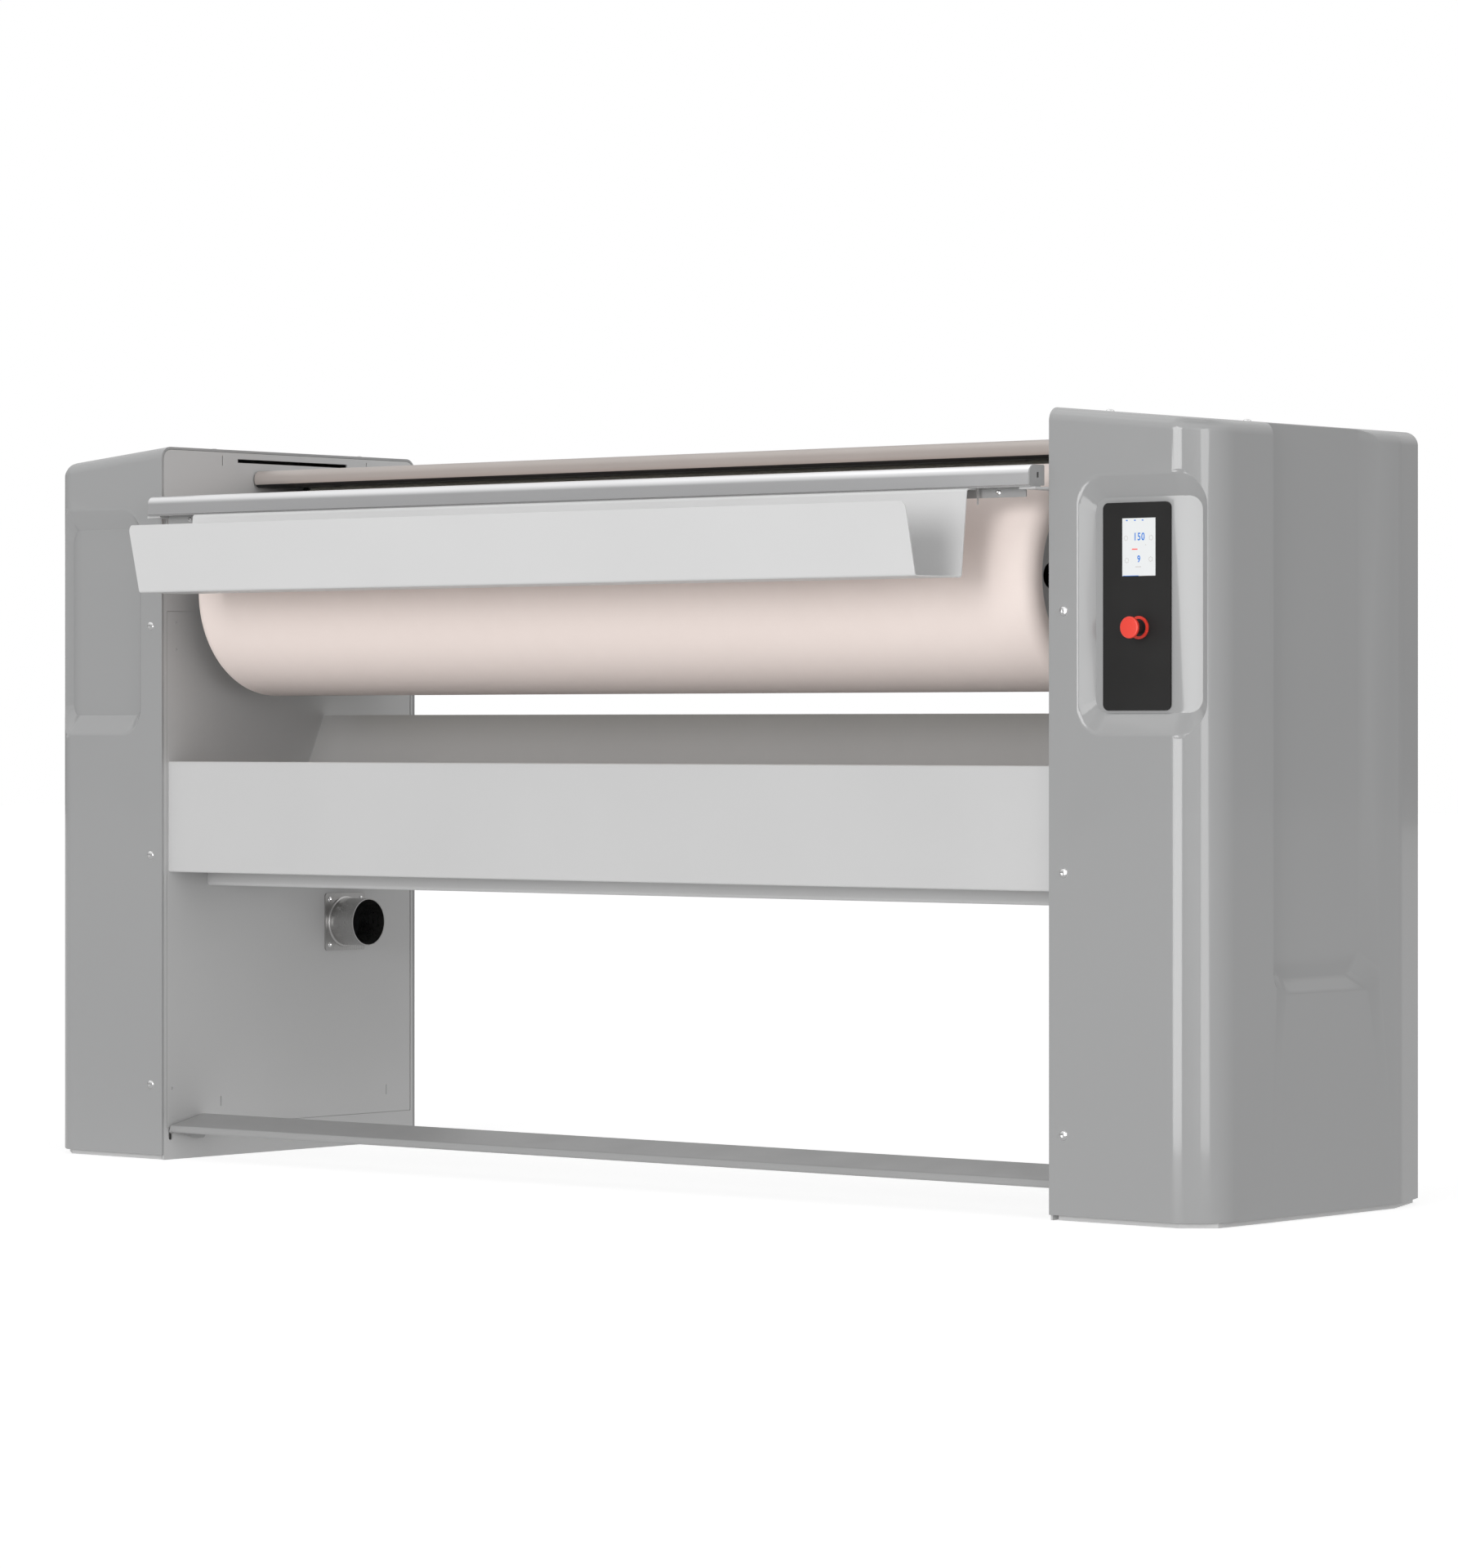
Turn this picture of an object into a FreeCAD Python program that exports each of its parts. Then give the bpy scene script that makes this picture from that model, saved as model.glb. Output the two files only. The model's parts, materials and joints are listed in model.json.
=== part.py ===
import FreeCAD, Part
import math
import os

from FreeCAD import Vector

# Roller ironer with a heated chest, standing on the floor. Millimetres.
# x runs along the roll and is 0 at mid length, z is 0 on the floor. While it is modelled,
# y is 0 on the front plane of the two side columns and grows to the back; save() moves
# every piece so that y is 0 at half of the whole depth.

# ---------------------------------------------------------------- driving dimensions
# opening and columns
opening_half = 805.0          # mid length to the inner face of a column
column_width = 247.0
column_depth = 540.0
column_height = 1041.0        # at the inner edge, from where the top falls outwards
top_slope_deg = 5.4
front_flat = 200.0            # flat part of the column's front
corner_setback = 36.0         # depth of the slanted front corner
corner_inset = 3.0            # the slanted corner ends this far inside the side plane
rear_chamfer_depth = 100.0
rear_chamfer_width = 35.0
bend_radius = 30.0
rear_bend_radius = 24.0
top_round = 18.0
cover_wall = 3.5
cover_ground_gap = 7.0
cover_fit = 0.5               # cover to side frame

# moulded recess in the front of each column
recess_near = 45.0            # from the column's inner face
recess_length = 332.0
recess_top_gap = 89.0         # from the column's top edge
recess_depth = 20.0
recess_side_run = 15.0        # width of the sloped side wall
recess_end_run = 29.0         # height of the sloped top and bottom walls
recess_corner = 38.0
recess_floor_corner = 18.0
recess_rim = 2.0
recess_floor_width = 128.0    # level part of the recess floor
recess_fall_width = 32.0      # part of the floor that falls to the corner, along its slope
recess_fall_deg = 22.0

# long recess in the outer side of each column
side_recess_front = 148.0
side_recess_back_gap = 188.0  # from the column's rear face
side_recess_run = 45.0
side_recess_step = 3.0
side_recess_low = 285.0
side_recess_low_run = 26.0
side_recess_depth = 11.0

# side frame, plinth and service panel
frame_plate = 3.0
flange_width = 26.0
service_low = 46.0
service_high = 801.0
service_front = 10.0
service_sheet = 1.5
service_joint = 0.6
service_back_joint = 2.2
window_margin = 42.0
window_corner = 20.0
lower_window_top = 392.0
upper_window_bottom = 590.0
upper_window_top = 750.0
upper_window_back = 290.0
vent_front = 157.0
vent_back_gap = 149.0         # from the column's rear face
vent_drop = 18.5              # from the column's top edge
vent_height = 5.5
tick_width = 1.6
tick_height = 15.0
upper_tick_drop = 16.5
upper_tick_front = 125.0
upper_tick_back_gap = 107.0
lower_tick_z = 80.5
lower_tick_front = 122.0
lower_tick_back_gap = 63.0
pilot_hole_r = 2.2
pilot_holes = ((29.0, 784.0), (29.0, 745.0), (20.5, 104.0))
plinth_inset = 9.0
plinth_sheet = 4.0
plinth_height = 60.0
anchor_hole_r = 6.5
anchor_spacing_x = 150.0
anchor_spacing_y = 400.0

# roll
roll_y = 168.0
roll_z = 827.5
roll_r = 150.0                # over the padding
padding_thickness = 12.0
roll_tube_wall = 6.0
roll_end_gap = 45.0           # end of the padding, from the column's inner face
padding_lip = 8.0
padding_lip_r = 122.0
padding_round = 22.0
end_disc = 8.0
end_disc_inset = 6.0
disc_hole_r = 17.0
disc_hole_pcd_r = 84.0
disc_holes = 6
journal_flange_r = 46.0
journal_flange = 10.0
journal_r = 25.0
journal_bore_r = 17.0
journal_reach_right = 98.0    # into the column, from its inner face
journal_reach_left = 84.0
shaft_fit = 0.05
bearing_flange = 14.0
bearing_half_width = 62.0
bearing_boss_r = 42.0
bearing_boss = 20.0
bearing_bolt_offset = 45.0
bearing_bolt_r = 5.0

# ribbed belt drive in the right column
belt_offset = 60.0            # middle of the belt, from the column's inner face
belt_ribs = 4
rib_pitch = 4.7
rib_depth = 3.2
rib_flank_deg = 20.0
groove_floor_half = 0.8
belt_back = 3.0               # thickness behind the ribs
belt_play = 0.35              # drawn clearance between belt and pulleys
roll_pulley_r = 73.0
motor_pulley_r = 36.5
pulley_edge = 3.0             # plain rim beside the outermost grooves
pulley_rim = 6.0
pulley_web = 8.0
pulley_hub = 5.0
pulley_hub_wall = 12.0
drive_centres = 342.9
motor_shaft_r = 14.0
motor_shaft_reach = 22.0
gearbox_depth = 116.0
gearbox_height = 150.0
gearbox_width = 72.0
gearbox_round = 16.0
motor_r = 58.0
motor_length = 190.0
motor_fins = 7
fin_depth = 5.0
fin_width = 4.0
bracket_sheet = 6.0
bracket_arm_clearance = 14.0

# heated chest
chest_gap = 0.4
chest_thickness = 12.0
chest_top_deg = 64.0
chest_bottom_deg = 54.0
chest_end_gap = 29.0          # from the column's inner face
heater_r = 5.5
heater_count = 7
heater_end = 14.0
insulation_thickness = 22.0
insulation_margin_deg = 7.0
chest_end_plate = 8.0
chest_end_top_deg = 56.0
chest_end_bottom_deg = 45.0
pivot_y = 330.0
pivot_z = 450.0
pivot_pin_r = 10.0
arm_offset = 12.0             # pressure arm, from the column's inner face
arm_thickness = 10.0
arm_half_width = 26.0
stud_r = 11.0
stud_y = 352.0
stud_z = 838.0
chest_swing_deg = 3.5
press_z = 640.0
press_rod_r = 9.0
press_pin_r = 5.0
press_body_r = 24.0
press_body_length = 60.0
press_body_back_gap = 51.2    # from the column's rear face
slot_clearance = 0.4

# hood and finger guard
hood_sheet = 1.5
hood_rise = 34.0              # over the top of the roll
hood_back_gap = 62.0          # from the columns' rear faces
hood_bottom = 716.0
hood_bend = 6.0
guard_front = 189.0
guard_back = 234.0
guard_nip_gap = 9.0           # over the top of the roll
guard_round = 11.0
guard_sheet = 1.5
guard_end_gap = 3.0
guard_pin_r = 4.0
guard_pin_inset = 8.0
guard_swing_clearance = 1.2
liner_thickness = 6.0

# feed rail and trough
rail_front = -35.0
rail_back = -3.0
rail_low = 940.0
rail_high = 966.5
rail_round = 12.0
rail_wall = 2.5
rail_end_gap = 5.0
cap_thickness = 2.0
cap_slot_width = 4.0
cap_slot_height = 7.0
strip_sheet = 2.0
strip_web = 12.0
strip_web_inset = 8.0
strip_bolt_inset = 71.0       # from the column's inner face
strip_bolt_drop = 5.5
strip_stud_gap = 4.0          # beyond the trough's end
strip_stud_r = 1.5
strip_stud_drop = 21.0
strip_stud_y = -20.0
hanger_sheet = 3.0
hanger_width = 26.0
hanger_back = 62.0
hanger_drop = 34.0
trough_end_gap = 103.0        # from the column's inner face
trough_sheet = 1.5
trough_low = 823.0
trough_high = 918.5
trough_lip_front = -168.0
trough_floor_front = -146.0
trough_floor_back = -49.0
trough_back_top = -37.0
trough_bend = 3.5
trough_corner = 12.0

# fascia, beam and linen tray
fascia_front = 14.0
fascia_low = 420.0
fascia_high = 581.5
fascia_sheet = 1.5
fascia_bend = 1.5
fascia_top_return = 16.0
fascia_bottom_return = 24.0
beam_front = 94.0
beam_back = 250.0
beam_low = 399.0
beam_high = 452.0
beam_wall = 3.0
tray_sheet = 1.5
tray_top_y = 341.0
tray_top_z = 649.0
tray_knee_y = 271.0
tray_knee_z = 502.0
tray_front_y = 24.0
tray_front_rise = 10.0
tray_bend = 6.0
tray_end_gap = 2.0

# treadle
treadle_end_gap = 2.0         # from the column's inner face
treadle_sheet = 2.0
treadle_back_y = 81.0
treadle_back_z = 64.5
treadle_lip_y = 15.0
treadle_lip_z = 50.0
treadle_lip_drop = 10.0
treadle_hem = 12.0
treadle_pivot_y = 75.0
treadle_pivot_z = 37.0
treadle_pin_r = 4.0
treadle_stop_y = 18.0
treadle_stop_z = 41.5
treadle_stop_r = 3.0
treadle_swing_deg = 8.0
treadle_cheek = 3.0
treadle_cheek_gap = 1.0
treadle_slot_half = 4.0

# exhaust in the left column
spigot_back_gap = 155.0       # from the column's rear face
spigot_z = 338.5
spigot_r = 35.5
spigot_wall = 1.5
spigot_reach = 50.0           # from the column's inner face into the opening
spigot_flange = 86.5
spigot_flange_sheet = 2.0
spigot_flange_corner = 5.0
spigot_bolt_offset = 34.0
spigot_bead = 3.0
blower_scroll_r = 78.0
blower_width = 74.0
blower_wall = 2.5
blower_offset = 122.0
blower_drop = 40.0
blower_inlet_r = 30.0
impeller_r = 52.0
impeller_width = 46.0
impeller_blades = 12
impeller_sheet = 2.0
impeller_hub_r = 14.0
blower_motor_r = 42.0
blower_motor_length = 72.0
blower_motor_bore = 32.0
blower_shaft_r = 6.0
blower_foot = 4.0
duct_r = 30.0
duct_wall = 2.0
duct_bend = 70.0
collector_half = 38.0
collector_lap = 10.0          # how far the collector reaches over the hollow journal

# control panel
panel_near = 73.0             # from the column's inner face
panel_width = 105.0
panel_lift = 32.0             # over the lower end of the recess
panel_height = 264.0
panel_sheet = 3.0
panel_corner = 8.0
screen_near = 103.0
screen_width = 52.0
screen_lift = 170.5           # over the lower edge of the panel
screen_height = 73.5
screen_thickness = 2.0
screen_stand = 0.4
stop_near = 130.0
stop_lift = 105.0             # over the lower edge of the panel
stop_cap_r = 14.0
stop_cap_height = 8.0
stop_cap_round = 2.5
stop_ring_r = 14.6
stop_ring_height = 2.0
stop_stem_r = 8.0
stop_stand = 24.0             # cap's front face, from the panel
stop_travel = 4.0
stop_barrel_r = 11.0
stop_barrel_length = 26.0
stop_barrel_stand = 0.5       # in front of the panel
stop_barrel_floor = 4.0
screen_box_depth = 24.0

# controls cabinet in the right column
cabinet_near = 40.0
cabinet_width = 150.0
cabinet_front = 244.0
cabinet_back_gap = 46.0       # from the column's rear face
cabinet_low = 90.0
cabinet_high = 380.0
cabinet_sheet = 2.0

# screws
cover_screw_near = 23.2
cover_screw_heights = (109.5, 444.4, 779.0)
cover_screw_r = 6.5
cover_screw_dome = 3.2
cover_screw_shank_r = 2.5
top_screw_near = 11.0
top_screw_depths = (118.0, 428.0)
small_screw_r = 4.0
small_screw_dome = 2.0
small_screw_shank_r = 1.9

# rear panel of a column
rear_panel_near = 15.0
rear_panel_width = 176.0
rear_panel_low = 50.0
rear_panel_high = 930.0
rear_panel_overlap = 12.0
rear_panel_sheet = 1.5
rear_panel_corner = 14.0
louvre_rows = 9
louvre_pitch = 24.0
louvre_length = 110.0
louvre_height = 6.0
louvre_low = 640.0

# ---------------------------------------------------------------- worked-out places
half_depth = (column_depth + trough_lip_front) / 2
outer_x = opening_half + column_width
frame_front = cover_wall + cover_fit
frame_back = column_depth - cover_wall - cover_fit
frame_top = column_height - cover_wall - cover_fit
roll_half = opening_half - roll_end_gap
roll_tube_r = roll_r - padding_thickness
tube_half = roll_half - padding_lip
roll_tube_inner_r = roll_tube_r - roll_tube_wall
motor_z = roll_z - drive_centres
belt_plane = opening_half + belt_offset
pulley_half = belt_ribs * rib_pitch / 2 + pulley_edge
gearbox_x = belt_plane + pulley_half + pulley_hub + motor_shaft_reach
recess_high = column_height - recess_top_gap
recess_low = recess_high - recess_length
recess_end = recess_near + recess_side_run + recess_floor_width
panel_low = recess_low + panel_lift
panel_front = recess_depth - panel_sheet
screen_low = panel_low + screen_lift
stop_z = panel_low + stop_lift
side_recess_back = column_depth - side_recess_back_gap
service_back = column_depth - plinth_inset
vent_back = column_depth - vent_back_gap
vent_low = column_height - vent_drop
hood_back = column_depth - hood_back_gap
hood_top = roll_z + roll_r + hood_rise
guard_low = roll_z + roll_r + guard_nip_gap
chest_half = opening_half - chest_end_gap
trough_half = opening_half - trough_end_gap
treadle_half = opening_half - treadle_end_gap
strip_bolt_x = opening_half - strip_bolt_inset
strip_stud_x = trough_half + strip_stud_gap
spigot_y = column_depth - spigot_back_gap
cabinet_back = column_depth - cabinet_back_gap

X = Vector(1, 0, 0)
Y = Vector(0, 1, 0)
Z = Vector(0, 0, 1)


# ---------------------------------------------------------------- drawing helpers
def save(name, shape):
    """Write one sub-part, moved so that y is 0 at half of the whole depth."""
    moved = shape.copy()
    moved.translate(Vector(0, -half_depth, 0))
    moved.exportStep("parts/" + name + ".step")


def mirrored(shape):
    return shape.mirror(Vector(0, 0, 0), X)


def save_pair(name, right_shape):
    """The right-hand piece and its mirror image in the left column."""
    save(name + "_right", right_shape)
    save(name + "_left", mirrored(right_shape))


def save_twins(name, right_shape):
    """Both mirror-image pieces together as the two solids of one sub-part."""
    save(name, Part.makeCompound([right_shape, mirrored(right_shape)]))


def in_plan(z):
    return lambda a, b: Vector(a, b, z)


def in_section(x):
    return lambda a, b: Vector(x, a, b)


def in_front(y):
    return lambda a, b: Vector(a, y, b)


def outline(corners, place):
    """Closed wire through (a, b, radius) corners, each rounded by its own radius."""
    spans = []
    count = len(corners)
    for i in range(count):
        a, b, radius = corners[i]
        here = Vector(a, b, 0)
        before = Vector(corners[i - 1][0], corners[i - 1][1], 0)
        after = Vector(corners[(i + 1) % count][0], corners[(i + 1) % count][1], 0)
        if radius <= 0:
            spans.append((here, here, here))
            continue
        back = (before - here).normalize()
        ahead = (after - here).normalize()
        half = back.getAngle(ahead) / 2
        run = radius / math.tan(half)
        bisector = (back + ahead).normalize()
        middle = here + bisector * (radius / math.sin(half) - radius)
        spans.append((here + back * run, middle, here + ahead * run))
    edges = []
    for i in range(count):
        start, middle, end = [place(p.x, p.y) for p in spans[i]]
        if start.distanceToPoint(end) > 1e-6:
            edges.append(Part.Arc(start, middle, end).toShape())
        following = place(spans[(i + 1) % count][0].x, spans[(i + 1) % count][0].y)
        if end.distanceToPoint(following) > 1e-6:
            edges.append(Part.makeLine(end, following))
    return Part.Wire(edges)


def prism(corners, place, along):
    return Part.Face(outline(corners, place)).extrude(along)


def sharp(points):
    return [(a, b, 0) for a, b in points]


def round_box_corners(a0, b0, a1, b1, radius):
    return [(a0, b0, radius), (a1, b0, radius), (a1, b1, radius), (a0, b1, radius)]


def box(x0, y0, z0, x1, y1, z1):
    return Part.makeBox(x1 - x0, y1 - y0, z1 - z0, Vector(x0, y0, z0))


def rod(radius, start, along, length):
    return Part.makeCylinder(radius, length, start, along)


def pipe(outer_r, inner_r, start, along, length):
    return rod(outer_r, start, along, length).cut(rod(inner_r, start, along, length))


def side_normal(start, end):
    step = Vector(end[0] - start[0], end[1] - start[1], 0).normalize()
    return Vector(-step.y, step.x, 0)


def shifted_corner(before, here, after, shift):
    """Corner of a polyline moved to its left by shift, mitred between both legs."""
    first = side_normal(before, here)
    second = side_normal(here, after)
    mitre = (first + second).normalize()
    return Vector(here[0], here[1], 0) + mitre * (shift / mitre.dot(first))


def folded_sheet(points, thickness, bend, place, along):
    """Sheet of even thickness folded along an open polyline, on the polyline's left side."""
    last = len(points) - 1
    near = []
    far = []
    for i, here in enumerate(points):
        if i in (0, last):
            leg = (points[0], points[1]) if i == 0 else (points[last - 1], points[last])
            moved = Vector(here[0], here[1], 0) + side_normal(*leg) * thickness
            near.append((here[0], here[1], 0))
            far.append((moved.x, moved.y, 0))
            continue
        first = side_normal(points[i - 1], here)
        second = side_normal(here, points[i + 1])
        turns_left = first.cross(second).z > 0
        moved = shifted_corner(points[i - 1], here, points[i + 1], thickness)
        near.append((here[0], here[1], bend + thickness if turns_left else bend))
        far.append((moved.x, moved.y, bend if turns_left else bend + thickness))
    return prism(near + far[::-1], place, along)


def inset_corners(points, gaps):
    """Corners of a clockwise or anticlockwise outline whose edge i is moved in by gaps[i]."""
    count = len(points)
    area = 0
    for i in range(count):
        a, b = points[i]
        c, d = points[(i + 1) % count]
        area += a * d - b * c
    inward = 1 if area > 0 else -1
    lines = []
    for i in range(count):
        normal = side_normal(points[i], points[(i + 1) % count]) * inward
        lines.append((Vector(points[i][0], points[i][1], 0) + normal * gaps[i], normal))
    moved = []
    for i in range(count):
        p, n = lines[i - 1]
        q, m = lines[i]
        det = n.x * m.y - n.y * m.x
        c1 = n.dot(p)
        c2 = m.dot(q)
        moved.append(((c1 * m.y - n.y * c2) / det, (n.x * c2 - c1 * m.x) / det))
    return moved


def top_at(from_inner):
    return column_height - from_inner * math.tan(math.radians(top_slope_deg))


def dome_screw(tip, along, head_r, dome, shank_r, shank):
    """Domed head standing on tip against along, with its shank running along."""
    sphere_r = (head_r ** 2 + dome ** 2) / (2 * dome)
    ball = Part.makeSphere(sphere_r, tip + along * (sphere_r - dome))
    head = ball.common(rod(head_r, tip - along * dome, along, dome))
    return head.fuse(rod(shank_r, tip - along * (dome / 2), along, shank + dome / 2))


# ---------------------------------------------------------------- column cover
def column_plan():
    """Corners of the column's outline from above: distance from its inner face, and y."""
    return [
        (0, 0),
        (front_flat, 0),
        (column_width - corner_inset, corner_setback),
        (column_width, corner_setback + rear_chamfer_depth),
        (column_width, column_depth - rear_chamfer_depth),
        (column_width - rear_chamfer_width, column_depth),
        (0, column_depth),
    ]


def column_form(front_gap, side_gap, back_gap, top_gap, open_inner):
    """Outer form of the right column drawn in by the gaps, rounded along its top edge."""
    chamfer_gap = max(front_gap, side_gap)
    gaps = [front_gap, chamfer_gap, side_gap, side_gap, side_gap, back_gap, -open_inner]
    radii = [0, bend_radius, 2 * bend_radius, 0, 2 * bend_radius, rear_bend_radius, 0]
    corners = []
    for (u, v), radius in zip(inset_corners(column_plan(), gaps), radii):
        drawn_in = max(front_gap, back_gap)
        corners.append((opening_half + u, v, max(radius - drawn_in, 0)))
    low = cover_ground_gap - open_inner
    body = prism(corners, in_plan(low), Z * (column_height + bend_radius - low))
    past = bend_radius + column_width
    roof = sharp([
        (opening_half - bend_radius, low),
        (opening_half - bend_radius, top_at(-bend_radius) - top_gap),
        (opening_half + past, top_at(past) - top_gap),
        (opening_half + past, low),
    ])
    body = body.common(prism(roof, in_front(-bend_radius), Y * (column_depth + 2 * bend_radius)))
    rim = []
    for edge in body.Edges:
        ends = [v.Point for v in edge.Vertexes]
        on_top = all(abs(p.z - top_at(p.x - opening_half) + top_gap) < 0.01 for p in ends)
        at_inner = all(p.x < opening_half + 0.01 for p in ends)
        if on_top and not at_inner:
            rim.append(edge)
    return body.makeFillet(top_round - top_gap, rim)


def on_recess_floor(falling, height):
    """Frame on one part of the recess floor: a runs outwards from the fold between both parts."""
    turn = math.radians(recess_fall_deg) if falling else 0
    outwards = Vector(math.cos(turn), math.sin(turn), 0)
    forwards = Vector(math.sin(turn), -math.cos(turn), 0)
    start = Vector(opening_half + recess_end, recess_depth, 0) + forwards * height
    return lambda a, b: start + outwards * a + Z * b


def recess_ring(falling, depth, gap):
    """Outline of one part of the recess, parallel to its floor; both parts meet in a mitre."""
    share = depth / recess_depth
    flare = recess_rim if depth <= 0 else 0
    grown = gap + flare
    low = recess_low + recess_end_run * share - grown
    high = recess_high - recess_end_run * share + grown
    corner = recess_corner + (recess_floor_corner - recess_corner) * share + gap
    height = recess_depth - depth - (gap if depth > 0 else 0)
    mitre = height * math.tan(math.radians(recess_fall_deg / 2))
    side_run = recess_side_run * (1 - share) + grown
    if falling:
        far = recess_fall_width + side_run
        corners = [(-mitre, low, 0), (far, low, corner), (far, high, corner), (-mitre, high, 0)]
    else:
        near = -recess_floor_width - side_run
        corners = [(near, low, corner), (mitre, low, 0), (mitre, high, 0), (near, high, corner)]
    return outline(corners, on_recess_floor(falling, height))


def front_recess(gap):
    """What the front recess takes away, grown by gap for the cover's inner face."""
    depths = [-recess_depth / 2, 0, recess_rim, recess_depth]
    dishes = []
    for falling in (False, True):
        rings = [recess_ring(falling, depth, gap) for depth in depths]
        dishes.append(Part.makeLoft(rings, True, True))
    return dishes[0].fuse(dishes[1])


def side_recess(gap):
    """What the long side recess takes away, grown by gap for the cover's inner face."""
    outside = outer_x + recess_rim
    inside = outer_x - side_recess_depth - gap
    high = column_height + bend_radius
    wide = [
        (side_recess_front - side_recess_step - gap, side_recess_low - gap, bend_radius),
        (side_recess_back + side_recess_run + gap, side_recess_low - gap, bend_radius),
        (side_recess_back + side_recess_run + gap, high, 0),
        (side_recess_front - side_recess_step - gap, high, 0),
    ]
    narrow = [
        (side_recess_front - gap, side_recess_low + side_recess_low_run - gap, bend_radius),
        (side_recess_back + gap, side_recess_low + side_recess_low_run - gap, bend_radius),
        (side_recess_back + gap, high, 0),
        (side_recess_front - gap, high, 0),
    ]
    rings = [outline(wide, in_section(outside)), outline(narrow, in_section(inside))]
    return Part.makeLoft(rings, True, True)


def make_cover():
    outside = column_form(0, 0, 0, 0, 0)
    pocket = side_recess(0).cut(column_form(0, side_recess_depth, 0, 0, 1))
    outside = outside.cut(pocket).cut(front_recess(0))
    inside = column_form(cover_wall, cover_wall, cover_wall, cover_wall, 1)
    deep = side_recess_depth + cover_wall
    pocket = side_recess(cover_wall).cut(column_form(cover_wall, deep, cover_wall, cover_wall, 2))
    inside = inside.cut(pocket).cut(front_recess(cover_wall))
    cover = outside.cut(inside)
    x0 = opening_half + rear_panel_near + rear_panel_overlap
    x1 = opening_half + rear_panel_near + rear_panel_width - rear_panel_overlap
    window = round_box_corners(x0, rear_panel_low + rear_panel_overlap,
                               x1, rear_panel_high - rear_panel_overlap, rear_panel_corner)
    back = column_depth - 2 * cover_wall
    return cover.cut(prism(window, in_front(back), Y * (3 * cover_wall)))


def panel_opening(cover):
    """Holes for the switch barrel and the screen's back in the right recess floor."""
    depth = recess_depth + 2 * cover_wall
    hole = rod(stop_barrel_r + cover_fit, Vector(opening_half + stop_near, 0, stop_z), Y, depth)
    x0 = opening_half + screen_near
    back = box(x0, 0, screen_low, x0 + screen_width, depth, screen_low + screen_height)
    return cover.cut(hole).cut(back)


def screw_holes(cover):
    """Clearance holes for the front and top cover screws."""
    for height in cover_screw_heights:
        start = Vector(opening_half + cover_screw_near, -1, height)
        cover = cover.cut(rod(cover_screw_shank_r + shaft_fit, start, Y, 2 * cover_wall))
    for depth in top_screw_depths:
        start = Vector(opening_half + top_screw_near, depth, frame_top - cover_wall)
        cover = cover.cut(rod(cover_screw_shank_r + shaft_fit, start, Z, 4 * cover_wall))
    return cover


# ---------------------------------------------------------------- side frame and panels
def make_side_frame():
    corner = top_round - cover_wall
    plate = prism([
        (frame_front, 0, 0), (frame_back, 0, 0),
        (frame_back, frame_top, corner), (frame_front, frame_top, corner),
    ], in_section(opening_half), X * frame_plate)
    inner = opening_half + frame_plate
    low = plinth_height + cover_fit
    front_flange = box(inner, frame_front, low, inner + flange_width,
                       frame_front + frame_plate, frame_top - top_round)
    back_flange = box(inner, frame_back - frame_plate - rear_panel_sheet, low,
                      inner + flange_width, frame_back - rear_panel_sheet, frame_top - top_round)
    roof_z = top_at(frame_plate + flange_width) - cover_wall - cover_fit - frame_plate
    top_flange = box(inner, top_round + frame_front, roof_z, inner + flange_width,
                     frame_back - top_round, roof_z + frame_plate)
    frame = plate.fuse([front_flange, back_flange, top_flange])
    return frame.cut(frame_cuts())


def frame_cuts():
    """Rebate, windows, slots and bores of the right side frame, as one group."""
    through = X * (3 * frame_plate)
    start = opening_half - frame_plate
    cuts = []
    rebate = round_box_corners(service_front, service_low, service_back, service_high, 2)
    cuts.append(prism(rebate, in_section(opening_half - 1), X * (1 + service_sheet)))
    lower = round_box_corners(service_front + window_margin, service_low + window_margin,
                              service_back - window_margin, lower_window_top, window_corner)
    upper = round_box_corners(service_front + window_margin, upper_window_bottom,
                              upper_window_back, upper_window_top, window_corner)
    cuts.append(prism(lower, in_section(start), through))
    cuts.append(prism(upper, in_section(start), through))
    cuts.append(box(start, vent_front, vent_low, start + 3 * frame_plate,
                    vent_back, vent_low + vent_height))
    for y, z in tick_places():
        cuts.append(box(start, y - tick_width / 2, z - tick_height / 2, start + 3 * frame_plate,
                        y + tick_width / 2, z + tick_height / 2))
    cuts.append(rod(journal_r + cover_fit, Vector(start, roll_y, roll_z), X, 3 * frame_plate))
    cuts.append(stud_slot(start))
    cuts.append(treadle_slot(start))
    pivot = Vector(start, treadle_pivot_y, treadle_pivot_z)
    cuts.append(rod(treadle_pin_r + shaft_fit, pivot, X, 3 * frame_plate))
    guard = Vector(start, guard_back - guard_pin_inset, guard_pin_z())
    cuts.append(rod(guard_pin_r + shaft_fit, guard, X, 3 * frame_plate))
    return cuts


def tick_places():
    z = column_height - upper_tick_drop
    return [(upper_tick_front, z), (column_depth - upper_tick_back_gap, z)]


def guard_pin_z():
    return (guard_low + hood_top) / 2


def stud_slot(start):
    """Slot that lets the chest's stud swing back; it follows the arc closely enough."""
    reach = (stud_z - pivot_z) * math.tan(math.radians(chest_swing_deg))
    clear = stud_r + 3.0
    shape = round_box_corners(stud_y - clear, stud_z - clear, stud_y + reach + clear,
                              stud_z + clear + 1, clear)
    return prism(shape, in_section(start), X * (3 * frame_plate))


def treadle_slot(start):
    low = treadle_stop_z - treadle_travel() - treadle_slot_half
    high = treadle_stop_z + treadle_slot_half
    slot = round_box_corners(treadle_stop_y - treadle_slot_half, low,
                             treadle_stop_y + treadle_slot_half, high, treadle_slot_half - 0.2)
    return prism(slot, in_section(start), X * (3 * frame_plate))


def treadle_travel():
    lever = treadle_pivot_y - treadle_stop_y
    return lever * math.sin(math.radians(treadle_swing_deg)) + 1.0


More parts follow.
